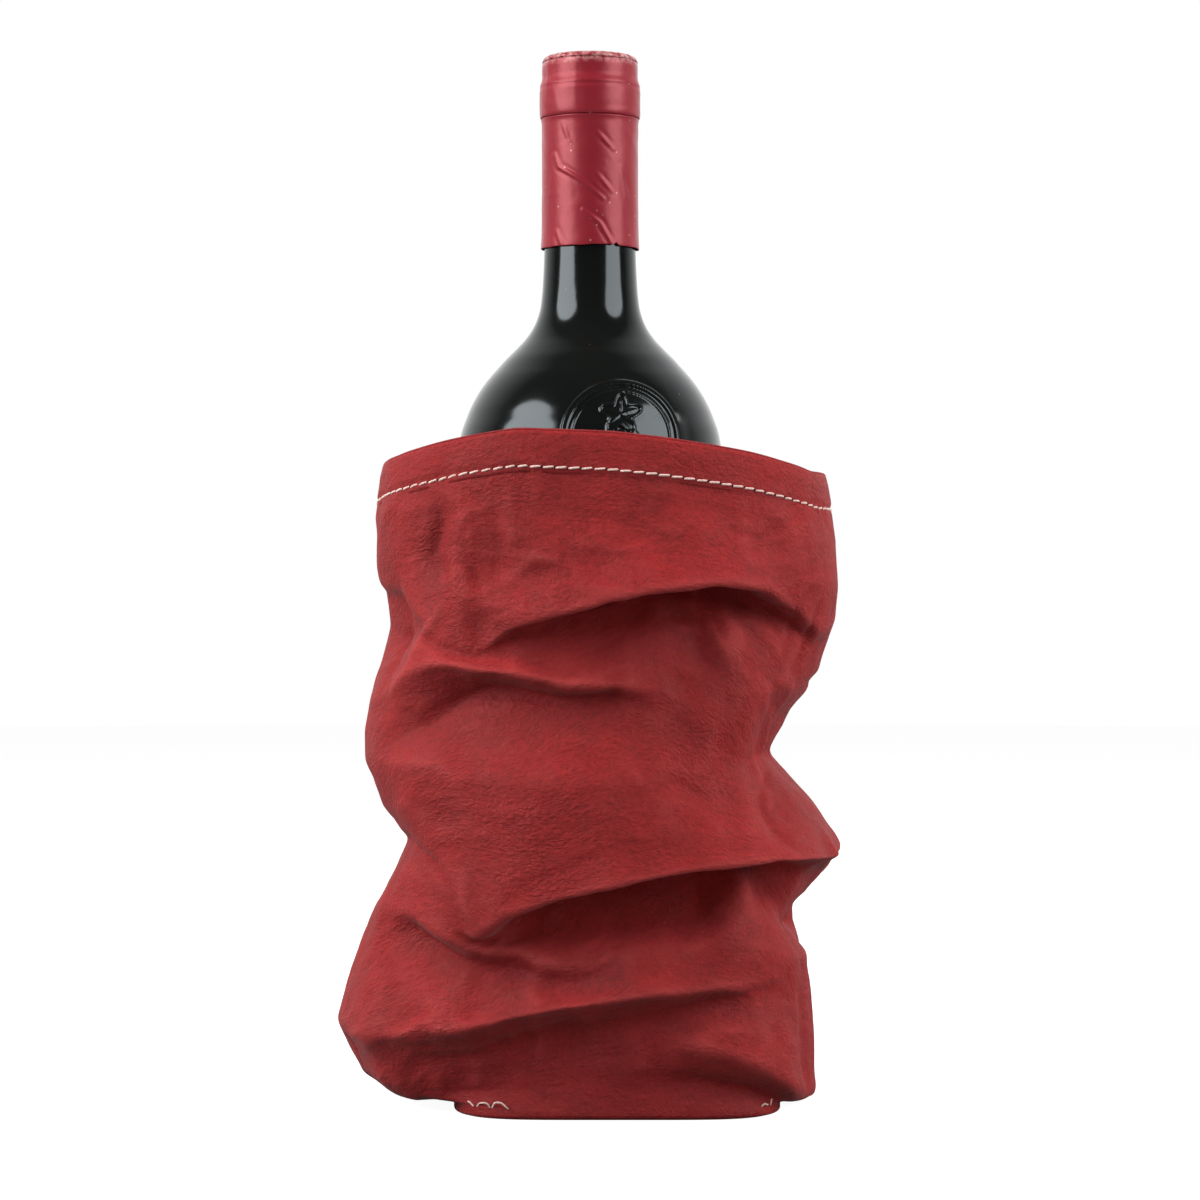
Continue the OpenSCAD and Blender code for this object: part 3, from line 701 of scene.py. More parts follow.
sleeve = crumple(sleeve)
reach = np.hypot(sleeve[..., 0], sleeve[..., 1])
sleeve[..., :2] *= np.maximum(1, (bottle_reach(sleeve[..., 2]) + 1.6) / np.maximum(reach, 1))[..., None]
print(len(CREASES), "drawn creases")

# %% [markdown]
# ## Cut the sleeve into its two panels
#
# The real bag is a front and a back panel, sewn together at the sides. At a seam each
# panel rolls in and runs on inside the bag as a narrow allowance, and the two rolls
# leave a fine groove outside. The grid is cut at the two seams, and each cut edge gets the
# roll and the allowance. Then each panel gets its paper's thickness.

# %% Seams and thickness
PAPER_T = 0.8
whole = PLAN[2][-1]
front_run = (PLAN[2] > whole * 0.25) & (PLAN[2] < whole * 0.75)
seam_at = []
for seam_x in (LEFT + 0.3, RIGHT - 0.3):
    seam_run = np.interp(seam_x, PLAN[0][front_run], PLAN[2][front_run])
    seam_at.append(int(round(seam_run / whole * AROUND)))
bend_up = np.clip((np.arange(UP) - 1) / 6, 0, 1)[:, None]


def seam_edge(column, step):
    """The roll and the allowance of a panel's edge; step is +1 if the panel lies on the higher columns."""
    here = sleeve[column]
    run = blur(np.roll(sleeve, -1, 0) - np.roll(sleeve, 1, 0), 1)[column] * step
    run /= np.linalg.norm(run, axis=1)[:, None]
    inward = -plan_out[column]
    inward = np.append(inward / np.linalg.norm(inward), 0)
    profile = [(0.95, 0.12), (0.45, 0.45), (0.15, 1.0), (0.07, 2.2), (0.07, 4.2), (0.07, 6.0)]
    return [here + run * side + inward * dip * bend_up for side, dip in profile]


def panel_grid(first, last):
    """The columns from one seam to the other, with both seam edges."""
    count = (last - first) % AROUND
    middle = [sleeve[(first + k) % AROUND] for k in range(1, count)]
    return np.array(seam_edge(first, 1)[::-1] + middle + seam_edge(last, -1))


def thick_sheet(grid, thickness=PAPER_T):
    """Points and faces of a sheet whose outer side is the grid."""
    across, up, _ = grid.shape
    normal = grid_normals(grid)
    points = np.concatenate([grid.reshape(-1, 3), (grid - normal * thickness).reshape(-1, 3)])
    outer = grid_faces(across, up)
    n = across * up
    inner = [[d + n, c + n, b + n, a + n] for a, b, c, d in outer]
    number = np.arange(n).reshape(across, up)
    rim = np.concatenate([number[:, 0], number[-1, 1:], number[::-1, -1][1:], number[0, ::-1][1:]])
    edge = [[int(b), int(a), int(a) + n, int(b) + n] for a, b in zip(rim, rim[1:])]
    return points, outer + inner + edge


def sheet_area(grid):
    """The area of a grid in square millimetres."""
    a, b = grid[1:, :-1] - grid[:-1, :-1], grid[:-1, 1:] - grid[:-1, :-1]
    c, d = grid[1:, :-1] - grid[1:, 1:], grid[:-1, 1:] - grid[1:, 1:]
    return 0.5 * (np.linalg.norm(np.cross(a, b), axis=2) + np.linalg.norm(np.cross(c, d), axis=2)).sum()


def sheet_uv(grid, start=0.0):
    """Coordinates that run with the sheet, in millimetres, the same on both of its sides."""
    across, up, _ = grid.shape
    u = start + np.arange(across) * whole / AROUND
    v = np.linspace(0, lengths.mean(), up)
    uv = np.stack(np.meshgrid(u, v, indexing="ij"), -1).reshape(-1, 2)
    return np.concatenate([uv, uv])


def rubbed_edges(grid):
    """How sharply the sheet bends outwards at each point, from 0 to 1: where it gets rubbed."""
    soft = grid.copy()
    for _ in range(4):
        soft[:, 1:-1] = 0.5 * soft[:, 1:-1] + 0.25 * (soft[:, :-2] + soft[:, 2:])
        soft[1:-1] = 0.5 * soft[1:-1] + 0.25 * (soft[:-2] + soft[2:])
    return np.clip(((grid - soft) * grid_normals(soft)).sum(-1) / 0.45, 0, 1)


def make_panel(name, first, last, start):
    grid = panel_grid(first, last)
    points, faces = thick_sheet(grid)
    piece = make_piece(name, points, faces, [PAPER], uv=sheet_uv(grid, start))
    rubbed = np.tile(rubbed_edges(grid).ravel(), 2)
    piece.data.attributes.new("rubbed", "FLOAT", "POINT").data.foreach_set("value", rubbed.astype(np.float32))
    print("   its paper measures %.0f cm2" % (sheet_area(grid) / 100))
    return piece


front_panel = make_panel("front_panel", seam_at[0], seam_at[1], 0.0)
back_panel = make_panel("back_panel", seam_at[1], seam_at[0], 210.0)

# %% [markdown]
# ## The hem
#
# The top edge is turned in and sewn down, so the rim is a soft double roll. The hem is a
# band of its own here: it starts at the panels' outer edge, rolls over the top and runs
# down inside for 12 mm, close against the panels.

# %% Hem
HEM_DEPTH = 12.0
rim_points, rim_below = sleeve[:, -1], sleeve[:, -6]
rim_up = rim_points - rim_below
rim_up /= np.linalg.norm(rim_up, axis=1)[:, None]
rim_along = np.roll(rim_points, -1, 0) - np.roll(rim_points, 1, 0)
rim_out = np.cross(rim_along, rim_up)
rim_out /= np.linalg.norm(rim_out, axis=1)[:, None]


def rim_row(dip, rise):
    """A row round the rim, that far inside the panels' outer face and above their top edge."""
    return rim_points - rim_out * dip + rim_up * rise


hem_profile = [(0.0, 0.0), (0.1, 0.35), (0.38, 0.65), (0.85, 0.78), (1.32, 0.65), (1.6, 0.35), (1.72, 0.0)]
hem_profile += [(1.75, -k) for k in (1.0, 3.0, 5.0, 7.0, 9.0, 10.0, 11.0, HEM_DEPTH)]
hem_rows = np.stack([rim_row(*step) for step in hem_profile], 1)
hem_ring = np.concatenate([hem_rows, hem_rows[:1]], 0)
inner_side = -grid_normals(hem_ring)
inner_side[0] = inner_side[-1] = (inner_side[0] + inner_side[-1]) / 2
hem_points = np.concatenate([hem_rows.reshape(-1, 3), (hem_rows + inner_side[:-1] * PAPER_T).reshape(-1, 3)])
ROWS, COUNT = len(hem_profile), AROUND * len(hem_profile)
outer_faces = grid_faces(AROUND, ROWS, closed=True)
hem_faces = outer_faces + [[d + COUNT, c + COUNT, b + COUNT, a + COUNT] for a, b, c, d in outer_faces]
for i in range(AROUND):
    a, b = i * ROWS, (i + 1) % AROUND * ROWS
    hem_faces.append([b, a, a + COUNT, b + COUNT])
    a, b = a + ROWS - 1, b + ROWS - 1
    hem_faces.append([a, b, b + COUNT, a + COUNT])
hem_uv = np.stack(np.meshgrid(np.arange(AROUND) * whole / AROUND, lengths.mean() + np.linspace(0, 14, ROWS),
                              indexing="ij"), -1).reshape(-1, 2)
hem = make_piece("turned_in_hem", hem_points, hem_faces, [PAPER], uv=np.concatenate([hem_uv, hem_uv]))

# %% [markdown]
# ## The thread
#
# All sewing is one cream thread, about half a millimetre thick. Its finish is a twisted
# yarn: fine diagonal strands, a little uneven in tone.

# %% Thread, and the painted shade of the needle holes
def cream_thread():
    material, tree, shader, place = start_material(
        "Cream thread", Roughness=0.75, Specular_IOR_Level=0.3, Sheen_Weight=0.3)
    at = place.outputs["Object"]
    strands = add_node(tree, "ShaderNodeTexWave", {"Vector": at, "Scale": 900.0, "Distortion": 1.0},
                       bands_direction="DIAGONAL")
    tone = add_effect(tree, "Mottle", at, Patches_per_metre=400.0, Contrast=1.5)
    pale = mix_colour(tree, tone, (0.98, 0.72, 0.63, 1), (1.0, 0.88, 0.81, 1))
    tree.links.new(mix_colour(tree, strands.outputs["Fac"], (0.88, 0.55, 0.47, 1), pale),
                   shader.inputs["Base Color"])
    add_bump(tree, shader, strands.outputs["Fac"], 0.00008)
    return material


def needle_hole_shade():
    # painted shade: near-black paper stands in for the shadow inside each needle hole
    material, tree, shader, place = start_material("Needle hole, shaded paper", Roughness=0.9)
    tone = add_effect(tree, "Mottle", place.outputs["Object"], Patches_per_metre=700.0, Contrast=2.0)
    tree.links.new(mix_colour(tree, tone, (0.02, 0.003, 0.003, 1), (0.06, 0.008, 0.008, 1)),
                   shader.inputs["Base Color"])
    return material


THREAD, HOLE_SHADE = cream_thread(), needle_hole_shade()
print("made", THREAD.name, "and", HOLE_SHADE.name)

# %% [markdown]
# ## Stitches with Geometry Nodes
#
# A seam repeats one stitch along a path, which is what Geometry Nodes do best. The tree
# takes a path, samples it once per stitch, and puts a small bowed tube on every sample,
# lying along the path and standing on the paper. Between the stitches it puts the dimples
# of the needle, near black: painted shade in the needle holes. The path carries the
# paper's outward direction with it, as an attribute named out.

# %% The stitch tree
def stitch_tree():
    tree, given, gives = start_group(
        "Stitches along a path",
        [("Path", "Geometry", None), ("Pitch", "Float", 0.0037), ("Stitch length", "Float", 0.0030),
         ("Thread thickness", "Float", 0.00068), ("Unevenness", "Float", 0.08), ("Thread", "Material", None),
         ("Needle hole", "Material", None)],
        [("Stitches", "Geometry", None)], kind="GeometryNodeTree")
    link = tree.links.new

    def maths(operation, first, second):
        return add_node(tree, "ShaderNodeMath", {0: first, 1: second}, operation=operation).outputs[0]

    line = add_node(tree, "GeometryNodeMeshToCurve", {"Mesh": given["Path"]})
    steps = add_node(tree, "GeometryNodeResampleCurve",
                     {"Curve": line.outputs["Curve"], "Length": given["Pitch"]}, mode="LENGTH")
    along = add_node(tree, "GeometryNodeInputTangent")
    out = add_node(tree, "GeometryNodeInputNamedAttribute", {"Name": "out"}, data_type="FLOAT_VECTOR")
    lie = add_node(tree, "FunctionNodeAlignRotationToVector", {"Vector": along.outputs["Tangent"]}, axis="X")
    stand = add_node(tree, "FunctionNodeAlignRotationToVector",
                     {"Rotation": lie.outputs["Rotation"], "Vector": out.outputs["Attribute"]},
                     axis="Z", pivot_axis="X")
    # the twist of the thread leaves every stitch a little aslant
    slant = add_node(tree, "FunctionNodeRotateRotation",
                     {"Rotation": stand.outputs["Rotation"], "Rotate By": (0.0, 0.0, math.radians(7))},
                     rotation_space="LOCAL")
    # one stitch: a bowed tube whose ends dip into the paper
    half = maths("MULTIPLY", given["Stitch length"], 0.5)
    minus_half = maths("MULTIPLY", given["Stitch length"], -0.5)
    sunk = maths("MULTIPLY", given["Thread thickness"], -0.55)
    high = maths("MULTIPLY", given["Thread thickness"], 0.85)
    ends = [add_node(tree, "ShaderNodeCombineXYZ", {"X": x, "Z": z}).outputs[0]
            for x, z in ((minus_half, sunk), (0.0, high), (half, sunk))]
    bow = add_node(tree, "GeometryNodeCurveQuadraticBezier",
                   {"Resolution": 6, "Start": ends[0], "Middle": ends[1], "End": ends[2]})
    ring = add_node(tree, "GeometryNodeCurvePrimitiveCircle",
                    {"Resolution": 7, "Radius": maths("MULTIPLY", given["Thread thickness"], 0.5)})
    tube = add_node(tree, "GeometryNodeCurveToMesh",
                    {"Curve": bow.outputs["Curve"], "Profile Curve": ring.outputs["Curve"],
                     "Fill Caps": True})
    round_tube = add_node(tree, "GeometryNodeSetShadeSmooth", {"Geometry": tube.outputs["Mesh"]})
    low = maths("SUBTRACT", 1.0, given["Unevenness"])
    size = add_node(tree, "FunctionNodeRandomValue", {"Seed": 5}, data_type="FLOAT")
    link(low, size.inputs[2])
    size.inputs[3].default_value = 1.0
    stitches = add_node(tree, "GeometryNodeInstanceOnPoints",
                        {"Points": steps.outputs["Curve"], "Instance": round_tube.outputs[0],
                         "Rotation": slant.outputs["Rotation"], "Scale": size.outputs[1]})
    # the needle's dimples, half a stitch further on, near black with painted shade
    forward = add_node(tree, "ShaderNodeVectorMath",
                       {0: along.outputs["Tangent"], "Scale": maths("MULTIPLY", given["Pitch"], 0.5)},
                       operation="SCALE")
    lower = add_node(tree, "ShaderNodeVectorMath", {0: out.outputs["Attribute"], "Scale": -0.00028},
                     operation="SCALE")
    offset = add_node(tree, "ShaderNodeVectorMath", {0: forward.outputs[0], 1: lower.outputs[0]},
                      operation="ADD")
    between = add_node(tree, "GeometryNodeSetPosition",
                       {"Geometry": steps.outputs["Curve"], "Offset": offset.outputs[0]})
    dimple = add_node(tree, "GeometryNodeMeshUVSphere", {"Segments": 8, "Rings": 5, "Radius": 0.00050})
    hole_shades = add_node(tree, "GeometryNodeInstanceOnPoints",
                     {"Points": between.outputs["Geometry"], "Instance": dimple.outputs["Mesh"],
                      "Rotation": stand.outputs["Rotation"], "Scale": (1.15, 0.85, 0.45)})
    # both kinds become plain mesh, each with its own material
    both = tree.nodes.new("GeometryNodeJoinGeometry")
    for copies, material in ((stitches, given["Thread"]), (hole_shades, given["Needle hole"])):
        real = add_node(tree, "GeometryNodeRealizeInstances", {"Geometry": copies.outputs["Instances"]})
        covered = add_node(tree, "GeometryNodeSetMaterial",
                           {"Geometry": real.outputs[0], "Material": material})
        link(covered.outputs[0], both.inputs[0])
    link(both.outputs[0], gives["Stitches"])
    return tree


STITCHES = stitch_tree()
print("the stitch tree has", len(STITCHES.nodes), "nodes")


# %% Sew along a path
def sew(name, paths, outs, closed=False, **sizes):
    """Stitches along one or more paths of points in millimetres, as one plain mesh."""
    points, edges, out = [], [], []
    for path, direction in zip(paths, outs):
        first = len(points)
        points += (np.asarray(path) * MM).tolist()
        out += np.asarray(direction).tolist()
        edges += [(k, k + 1) for k in range(first, len(points) - 1)]
        if closed:
            edges.append((len(points) - 1, first))
    line = bpy.data.meshes.new(name)
    line.from_pydata(points, edges, [])
    line.attributes.new("out", "FLOAT_VECTOR", "POINT").data.foreach_set(
        "vector", np.asarray(out, np.float32).ravel())
    piece = bpy.data.objects.new(name, line)
    bpy.context.collection.objects.link(piece)
    modifier = piece.modifiers.new("Stitches", "NODES")
    modifier.node_group = STITCHES
    socket = {item.name: item.identifier for item in STITCHES.interface.items_tree if item.in_out == "INPUT"}
    for label, value in {"Thread": THREAD, "Needle_hole": HOLE_SHADE, **sizes}.items():
        modifier[socket[label.replace("_", " ")]] = value
    depsgraph = bpy.context.evaluated_depsgraph_get()
    mesh = bpy.data.meshes.new_from_object(piece.evaluated_get(depsgraph))
    piece.modifiers.remove(modifier)
    piece.data = mesh
    mesh.name = name
    print("%s: %d faces" % (name, len(mesh.polygons)))
    return piece


# %% Sew the hem
STITCH_LINE = 10.4


def sleeve_line(distance, lift):
    """A row of points that far below the rim on the paper's outer face, and the directions outwards."""
    down = np.linalg.norm(np.diff(sleeve[:, ::-1], axis=1), axis=2)
    run = np.concatenate([np.zeros((AROUND, 1)), np.cumsum(down, 1)], 1)
    normal = blur(grid_normals(sleeve, closed=True), 1)[:, ::-1]
    row, out = np.zeros((AROUND, 3)), np.zeros((AROUND, 3))
    for i in range(AROUND):
        for k in range(3):
            row[i, k] = np.interp(distance, run[i], sleeve[i, ::-1, k])
            out[i, k] = np.interp(distance, run[i], normal[i, :, k])
    return row + out * lift, out


outside, outside_out = sleeve_line(STITCH_LINE, 0.08)
inside = rim_row(1.75 + 0.08, -STITCH_LINE)
hem_stitches = sew("hem_stitches_outside", [outside], [outside_out], closed=True)
hem_stitches_inside = sew("hem_stitches_inside", [inside], [-rim_out], closed=True)

# %% Sew the sides
def side_paths(column):
    """The lines of thread on both faces of a side seam's allowances, from the base to the rim."""
    inward = -plan_out[column]
    inward = np.append(inward / np.linalg.norm(inward), 0)
    run = sleeve[(column + 1) % AROUND] - sleeve[column - 1]
    run /= np.linalg.norm(run, axis=1)[:, None]
    rows = slice(8, UP - 14)
    depth = sleeve[column, rows] + inward * 4.2
    away = run[rows] * (0.07 + PAPER_T)
    return [depth + away, depth - away], [run[rows], -run[rows]]


left_seam = sew("left_seam_thread", *side_paths(seam_at[0]))
right_seam = sew("right_seam_thread", *side_paths(seam_at[1]))

# %% [markdown]
# ## The base
#
# The base is one stiff panel, sewn in at the bottom. Its edge rolls up a little and
# shows as a low band under the front. A few ends of cream thread peep out of that seam at
# the corners. They are not a regular row, so they are drawn one by one as bent tubes.

# %% Base panel
def base_sheet():
    """The base as rings that shrink towards the middle, with the edge rolled up."""
    x, y, run = BASE
    count = 160
    at = np.arange(count) / count * run[-1]
    edge = np.stack([np.interp(at, run, x), np.interp(at, run, y)], 1)
    middle = np.array([8.0, 0.0])
    rings = []
    for inset, z in ((1.6, 2.4), (0.75, 1.6), (0.55, 0.9), (0.7, 0.35), (1.3, 0.08), (3.0, 0.05), (9.0, 0.05),
                     (20.0, 0.05), (32.0, 0.05), (43.0, 0.05)):
        share = 1 - inset / 50
        rings.append(np.column_stack([middle + (edge - middle) * share, np.full(count, z)]))
    return np.stack(rings, 1)


base_rows = base_sheet()
B_AROUND, B_ROWS = base_rows.shape[:2]
base_points = list(base_rows.reshape(-1, 3)) + [[8, 0, 0.05]]
upper = base_rows + (0, 0, 0.9)
upper[:, :3] = base_rows[:, :3] * (0.985, 0.985, 1) + (0.12, 0, 0.1)
base_points += list(upper.reshape(-1, 3)) + [[8, 0, 0.95]]
HALF = B_AROUND * B_ROWS + 1
ring_faces = grid_faces(B_AROUND, B_ROWS, closed=True)
base_faces = [[d, c, b, a] for a, b, c, d in ring_faces]
base_faces += [[a + HALF, b + HALF, c + HALF, d + HALF] for a, b, c, d in ring_faces]
for i in range(B_AROUND):
    a, b = i * B_ROWS, (i + 1) % B_AROUND * B_ROWS
    base_faces.append([a, b, b + HALF, a + HALF])
    a, b = a + B_ROWS - 1, b + B_ROWS - 1
    base_faces.append([b, a, HALF - 1])
    base_faces.append([a + HALF, b + HALF, 2 * HALF - 1])
base_uv = np.array(base_points)[:, :2] + (500, 0)
base_panel = make_piece("base_panel_sheet", base_points, base_faces, [PAPER], uv=base_uv)


# %% Loose ends of thread at the base seam
def tube(path, radius, sides=8):
    """A round tube along a smooth line through the given points, with closed ends."""
    path = np.asarray(path, float)
    t = np.linspace(0, len(path) - 1, (len(path) - 1) * 6 + 1)
    i = np.clip(t.astype(int), 0, len(path) - 2)
    f = (t - i)[:, None]
    before, after = path[np.maximum(i - 1, 0)], path[np.minimum(i + 2, len(path) - 1)]
    a, b = path[i], path[i + 1]
    line = 0.5 * (2 * a + (b - before) * f + (2 * before - 5 * a + 4 * b - after) * f ** 2
                  + (3 * a - before - 3 * b + after) * f ** 3)
    along = np.gradient(line, axis=0)
    along /= np.linalg.norm(along, axis=1)[:, None]
    side = np.cross(along, (0.13, 0.31, 0.94))
    side /= np.linalg.norm(side, axis=1)[:, None]
    up = np.cross(along, side)
    turn = np.arange(sides) / sides * 2 * np.pi
    rings = (line[:, None] + radius * (np.cos(turn)[None, :, None] * side[:, None]
                                       + np.sin(turn)[None, :, None] * up[:, None]))
    rings = rings.transpose(1, 0, 2)
    n = len(line)
    faces = [[d, c, b, a] for a, b, c, d in grid_faces(sides, n, closed=True)]
    faces.append([k * n for k in range(sides)])
    faces.append([k * n + n - 1 for k in range(sides)][::-1])
    return rings.reshape(-1, 3), faces


def outline_y(x):
    """How far forward the base's outline lies at a place on the front."""
    bx, by, _ = BASE
    front = (by < 0) & (np.abs(bx - 8) < 47.9)
    return np.interp(x, bx[front], by[front])


def join_parts(parts):
    """One list of points and faces from several."""
    points, faces = [], []
    for more, more_faces in parts:
        faces += [[k + len(points) for k in face] for face in more_faces]
        points += list(more)
    return points, faces


LOOPS = [
    [(-37.5, 0.3, 3.2), (-36.4, -0.5, 4.3), (-34.6, -0.6, 4.5), (-33.2, -0.1, 3.3)],
    [(-32.2, 0.3, 3.3), (-31.4, -0.5, 4.5), (-29.4, -0.6, 4.6), (-28.4, 0.2, 3.4)],
    [(-27.8, 0.3, 3.3), (-27.0, -0.7, 4.9), (-25.2, -0.9, 5.0), (-23.9, -0.8, 4.0), (-23.2, 0.2, 3.2)],
    [(52.0, 0.3, 3.0), (52.3, -0.7, 4.6), (52.7, -0.8, 6.2), (52.9, 0.4, 7.0)],
    [(49.4, 0.3, 3.2), (50.2, -0.5, 3.9), (51.2, 0.2, 3.4)],
]
threads = [tube([(x, outline_y(x) + y, z) for x, y, z in loop], 0.26) for loop in LOOPS]
base_thread = make_piece("base_seam_thread", *join_parts(threads), [THREAD])

# %% [markdown]
# ## The bottle
#
# The bottle is a standard 750 ml shape in glass so dark that it looks black. It is spun
# from a profile with a real wall, so that it is a closed solid with the wine inside.
# Its front carries a generic moulded seal, a ring round a bunch of grapes, which stands
# out by half a millimetre. The grid is fine where the seal is and coarse elsewhere.

# %% Bottle profile
OUTER = [(30, 3.4), (33, 1.2), (35.5, 1.0), (37.6, 1.6), (39.2, 3.4), (39.9, 6.5), (40, 10), (40, 60),
         (40, 120), (40, 168), (40, 186), (39.5, 193), (38.3, 199.5), (37.2, 202.5), (36, 205.5),
         (34.5, 208.5), (32.7, 211.5), (30.5, 214.5), (27.9, 217.5), (25.2, 220.5), (22.2, 223.5),
         (19.4, 226.5), (17.3, 229.5), (15.9, 232.5), (15, 235.5), (14.5, 239), (14.0, 246), (13.7, 254),
         (13.6, 270), (13.6, 291)]
MOUTH = [(13.7, 292), (14.5, 292.8), (14.7, 294), (14.7, 302.4), (14.4, 303.4), (13.9, 304), (13.9, 309.4),
         (13.5, 309.9), (12.9, 310), (10.2, 310), (9.6, 309.6), (9.3, 308.8)]
INNER = [(9.3, 262), (9.5, 240), (10.6, 234), (14, 227.5), (19.5, 221), (25, 215), (30, 208), (33.5, 200),
         (34.9, 190), (34.9, 60), (34.9, 14), (33.5, 9), (30, 7), (20, 9), (8, 17), (3, 19)]


def rounded(profile, step=1.2):
    """A profile with corners rounded by splines and points at most a step apart."""
    p = np.array(profile, float)
    run = np.concatenate([[0], np.cumsum(np.linalg.norm(np.diff(p, axis=0), axis=1))])
    slope = np.gradient(p, run, axis=0)
    out = []
    for i in range(len(p) - 1):
        h = run[i + 1] - run[i]
        count = max(1, int(math.ceil(h / step)))
        limit = (p[i + 1] - p[i]) / h
        a = np.where(slope[i] * limit > 0, slope[i], 0)
        b = np.where(slope[i + 1] * limit > 0, slope[i + 1], 0)
        for k in range(count):
            t = k / count
            out.append((2 * t ** 3 - 3 * t ** 2 + 1) * p[i] + (t ** 3 - 2 * t ** 2 + t) * h * a
                       + (-2 * t ** 3 + 3 * t ** 2) * p[i + 1] + (t ** 3 - t ** 2) * h * b)
    out.append(p[-1])
    return np.array(out)


def spin(profile, turns):
    """A grid of points: the profile turned about the bottle's axis, with turn 0 at the front."""
    r, z = profile[:, 0], profile[:, 1]
    return np.stack([np.sin(turns)[:, None] * r, -np.cos(turns)[:, None] * r,
                     np.broadcast_to(z, (len(turns), len(z)))], -1)


# %% The moulded seal
SEAL = (9.0, 195.0)


def seal_height(x, z):
    """How far the seal stands out at a place on the front: a ring, and a bunch of grapes with one leaf."""
    x, z = x - SEAL[0], z - SEAL[1]
    def bump(d, width, edge=0.35):
        return np.clip((width - d) / edge, 0, 1)
    r = np.hypot(x, z)
    rise = 0.65 * bump(np.abs(r - 16.6), 1.0) + 0.4 * bump(np.abs(r - 14.2), 0.4)
    grapes = [(column * 3.6 + (row % 2) * 1.8 - 3.6 + (row // 2) * 1.8, 0.8 - row * 3.1)
              for row in range(4) for column in range(3 - row // 2)]
    for gx, gz in grapes:
        d = np.hypot(x - gx, z - gz)
        rise = np.maximum(rise, 0.7 * np.sqrt(np.clip(1 - (d / 1.9) ** 2, 0, 1)))
    # one vine leaf with five lobes, drawn as a raised outline with raised veins
    lx, lz = x, z - 7.2
    turn, far_out = np.arctan2(lx, lz), np.hypot(lx, lz)
    edge = 4.9 + 1.3 * np.cos(5 * turn) - 0.5 * np.exp(-((np.abs(turn) - math.pi) / 0.4) ** 2)
    rise = np.maximum(rise, 0.6 * bump(np.abs(far_out - edge), 0.5))
    for angle in (0, 1.257, 2.2, -1.257, -2.2):
        along = lx * math.sin(angle) + lz * math.cos(angle)
        across = lx * math.cos(angle) - lz * math.sin(angle)
        rise = np.maximum(rise, 0.5 * bump(np.abs(across), 0.3) * (along > 0) * (along < 4.6))
    return rise


# %% Spin the glass
near = np.radians(np.linspace(-14, 42, 150))
far = np.radians(np.linspace(42, 346, 78))[1:-1]
turns = np.concatenate([near, far])
low_part = rounded([p for p in OUTER if p[1] <= 168], 9)
seal_part = rounded([p for p in OUTER if 168 <= p[1] <= 217.5], 0.38)
high_part = rounded([p for p in OUTER if p[1] >= 217.5] + MOUTH + INNER[:1], 1.0)
inner_part = rounded(INNER, 4)
profile = np.concatenate([low_part[:-1], seal_part[:-1], high_part[:-1], inner_part])
glass = spin(profile, turns)
normal = grid_normals(glass, closed=True)
outside_rows = np.arange(len(profile)) < len(low_part) + len(seal_part)
rise = seal_height(glass[..., 0], glass[..., 2]) * (glass[..., 1] < 0) * outside_rows
glass = glass + normal * rise[..., None]
count = len(profile)
glass_points = list(glass.reshape(-1, 3)) + [[0, 0, 4.6], [0, 0, 19.4]]
glass_faces = grid_faces(len(turns), count, closed=True)
for i in range(len(turns)):
    a, b = i * count, (i + 1) % len(turns) * count
    glass_faces.append([b, a, len(turns) * count])
    glass_faces.append([a + count - 1, b + count - 1, len(turns) * count + 1])


def black_glass():
    material, tree, shader, place = start_material(
        "Black bottle glass", Roughness=0.12, IOR=1.68, Specular_Tint=(0.86, 0.95, 1.0, 1.0))
    at = place.outputs["Object"]
    tone = add_effect(tree, "Mottle", at, Patches_per_metre=25.0, Contrast=1.5)
    dust = add_effect(tree, "Specks", at, Specks_per_metre=420.0, Size=0.10, Share=0.05)
    tint = mix_colour(tree, tone, (0.0035, 0.004, 0.0035, 1), (0.006, 0.007, 0.006, 1))
    tree.links.new(mix_colour(tree, combine(tree, [(dust, 0.35)]), tint, (0.22, 0.21, 0.20, 1)),
                   shader.inputs["Base Color"])
    film = add_node(tree, "ShaderNodeMapRange", {"Value": tone, "To Min": 0.10, "To Max": 0.15})
    tree.links.new(film.outputs["Result"], shader.inputs["Roughness"])
    waves = add_effect(tree, "Mottle", at, Patches_per_metre=55.0, Contrast=1.0)
    add_bump(tree, shader, waves, 0.0002, 0.2)
    return material


GLASS = black_glass()
bottle = make_piece("bottle_with_seal", glass_points, glass_faces, [GLASS])

# %% [markdown]
# ## The wine
#
# The wine fills the bottle up to the neck. Hardly any of it shows through the dark glass,
# but it is there when the bottle is looked at from inside.

# %% Wine
def red_wine():
    material, tree, shader, place = start_material("Red wine", Roughness=0.08, IOR=1.34)
    depth = add_effect(tree, "Mottle", place.outputs["Object"], Patches_per_metre=12.0, Contrast=1.0)
    tree.links.new(mix_colour(tree, depth, (0.018, 0.001, 0.004, 1), (0.035, 0.002, 0.007, 1)),
                   shader.inputs["Base Color"])
    return material


WINE = red_wine()
inside_wall = [(r - 0.25, z) for r, z in INNER[::-1] if z < 245]
wine_foot = [(r, z + 0.25) for r, z in inside_wall[:1]]
wine_line = rounded(wine_foot + inside_wall[1:] + [(9.05, 249.4), (8.6, 250.0)], 4)
wine_grid = spin(wine_line, np.radians(np.arange(0, 360, 5)))
number = len(wine_line)
wine_points = list(wine_grid.reshape(-1, 3)) + [[0, 0, wine_line[0][1]], [0, 0, 250.0]]
wine_faces = grid_faces(72, number, closed=True)
for i in range(72):
    a, b = i * number, (i + 1) % 72 * number
    wine_faces.append([b, a, 72 * number])
    wine_faces.append([a + number - 1, b + number - 1, 72 * number + 1])
wine = make_piece("red_wine", wine_points, wine_faces, [WINE])

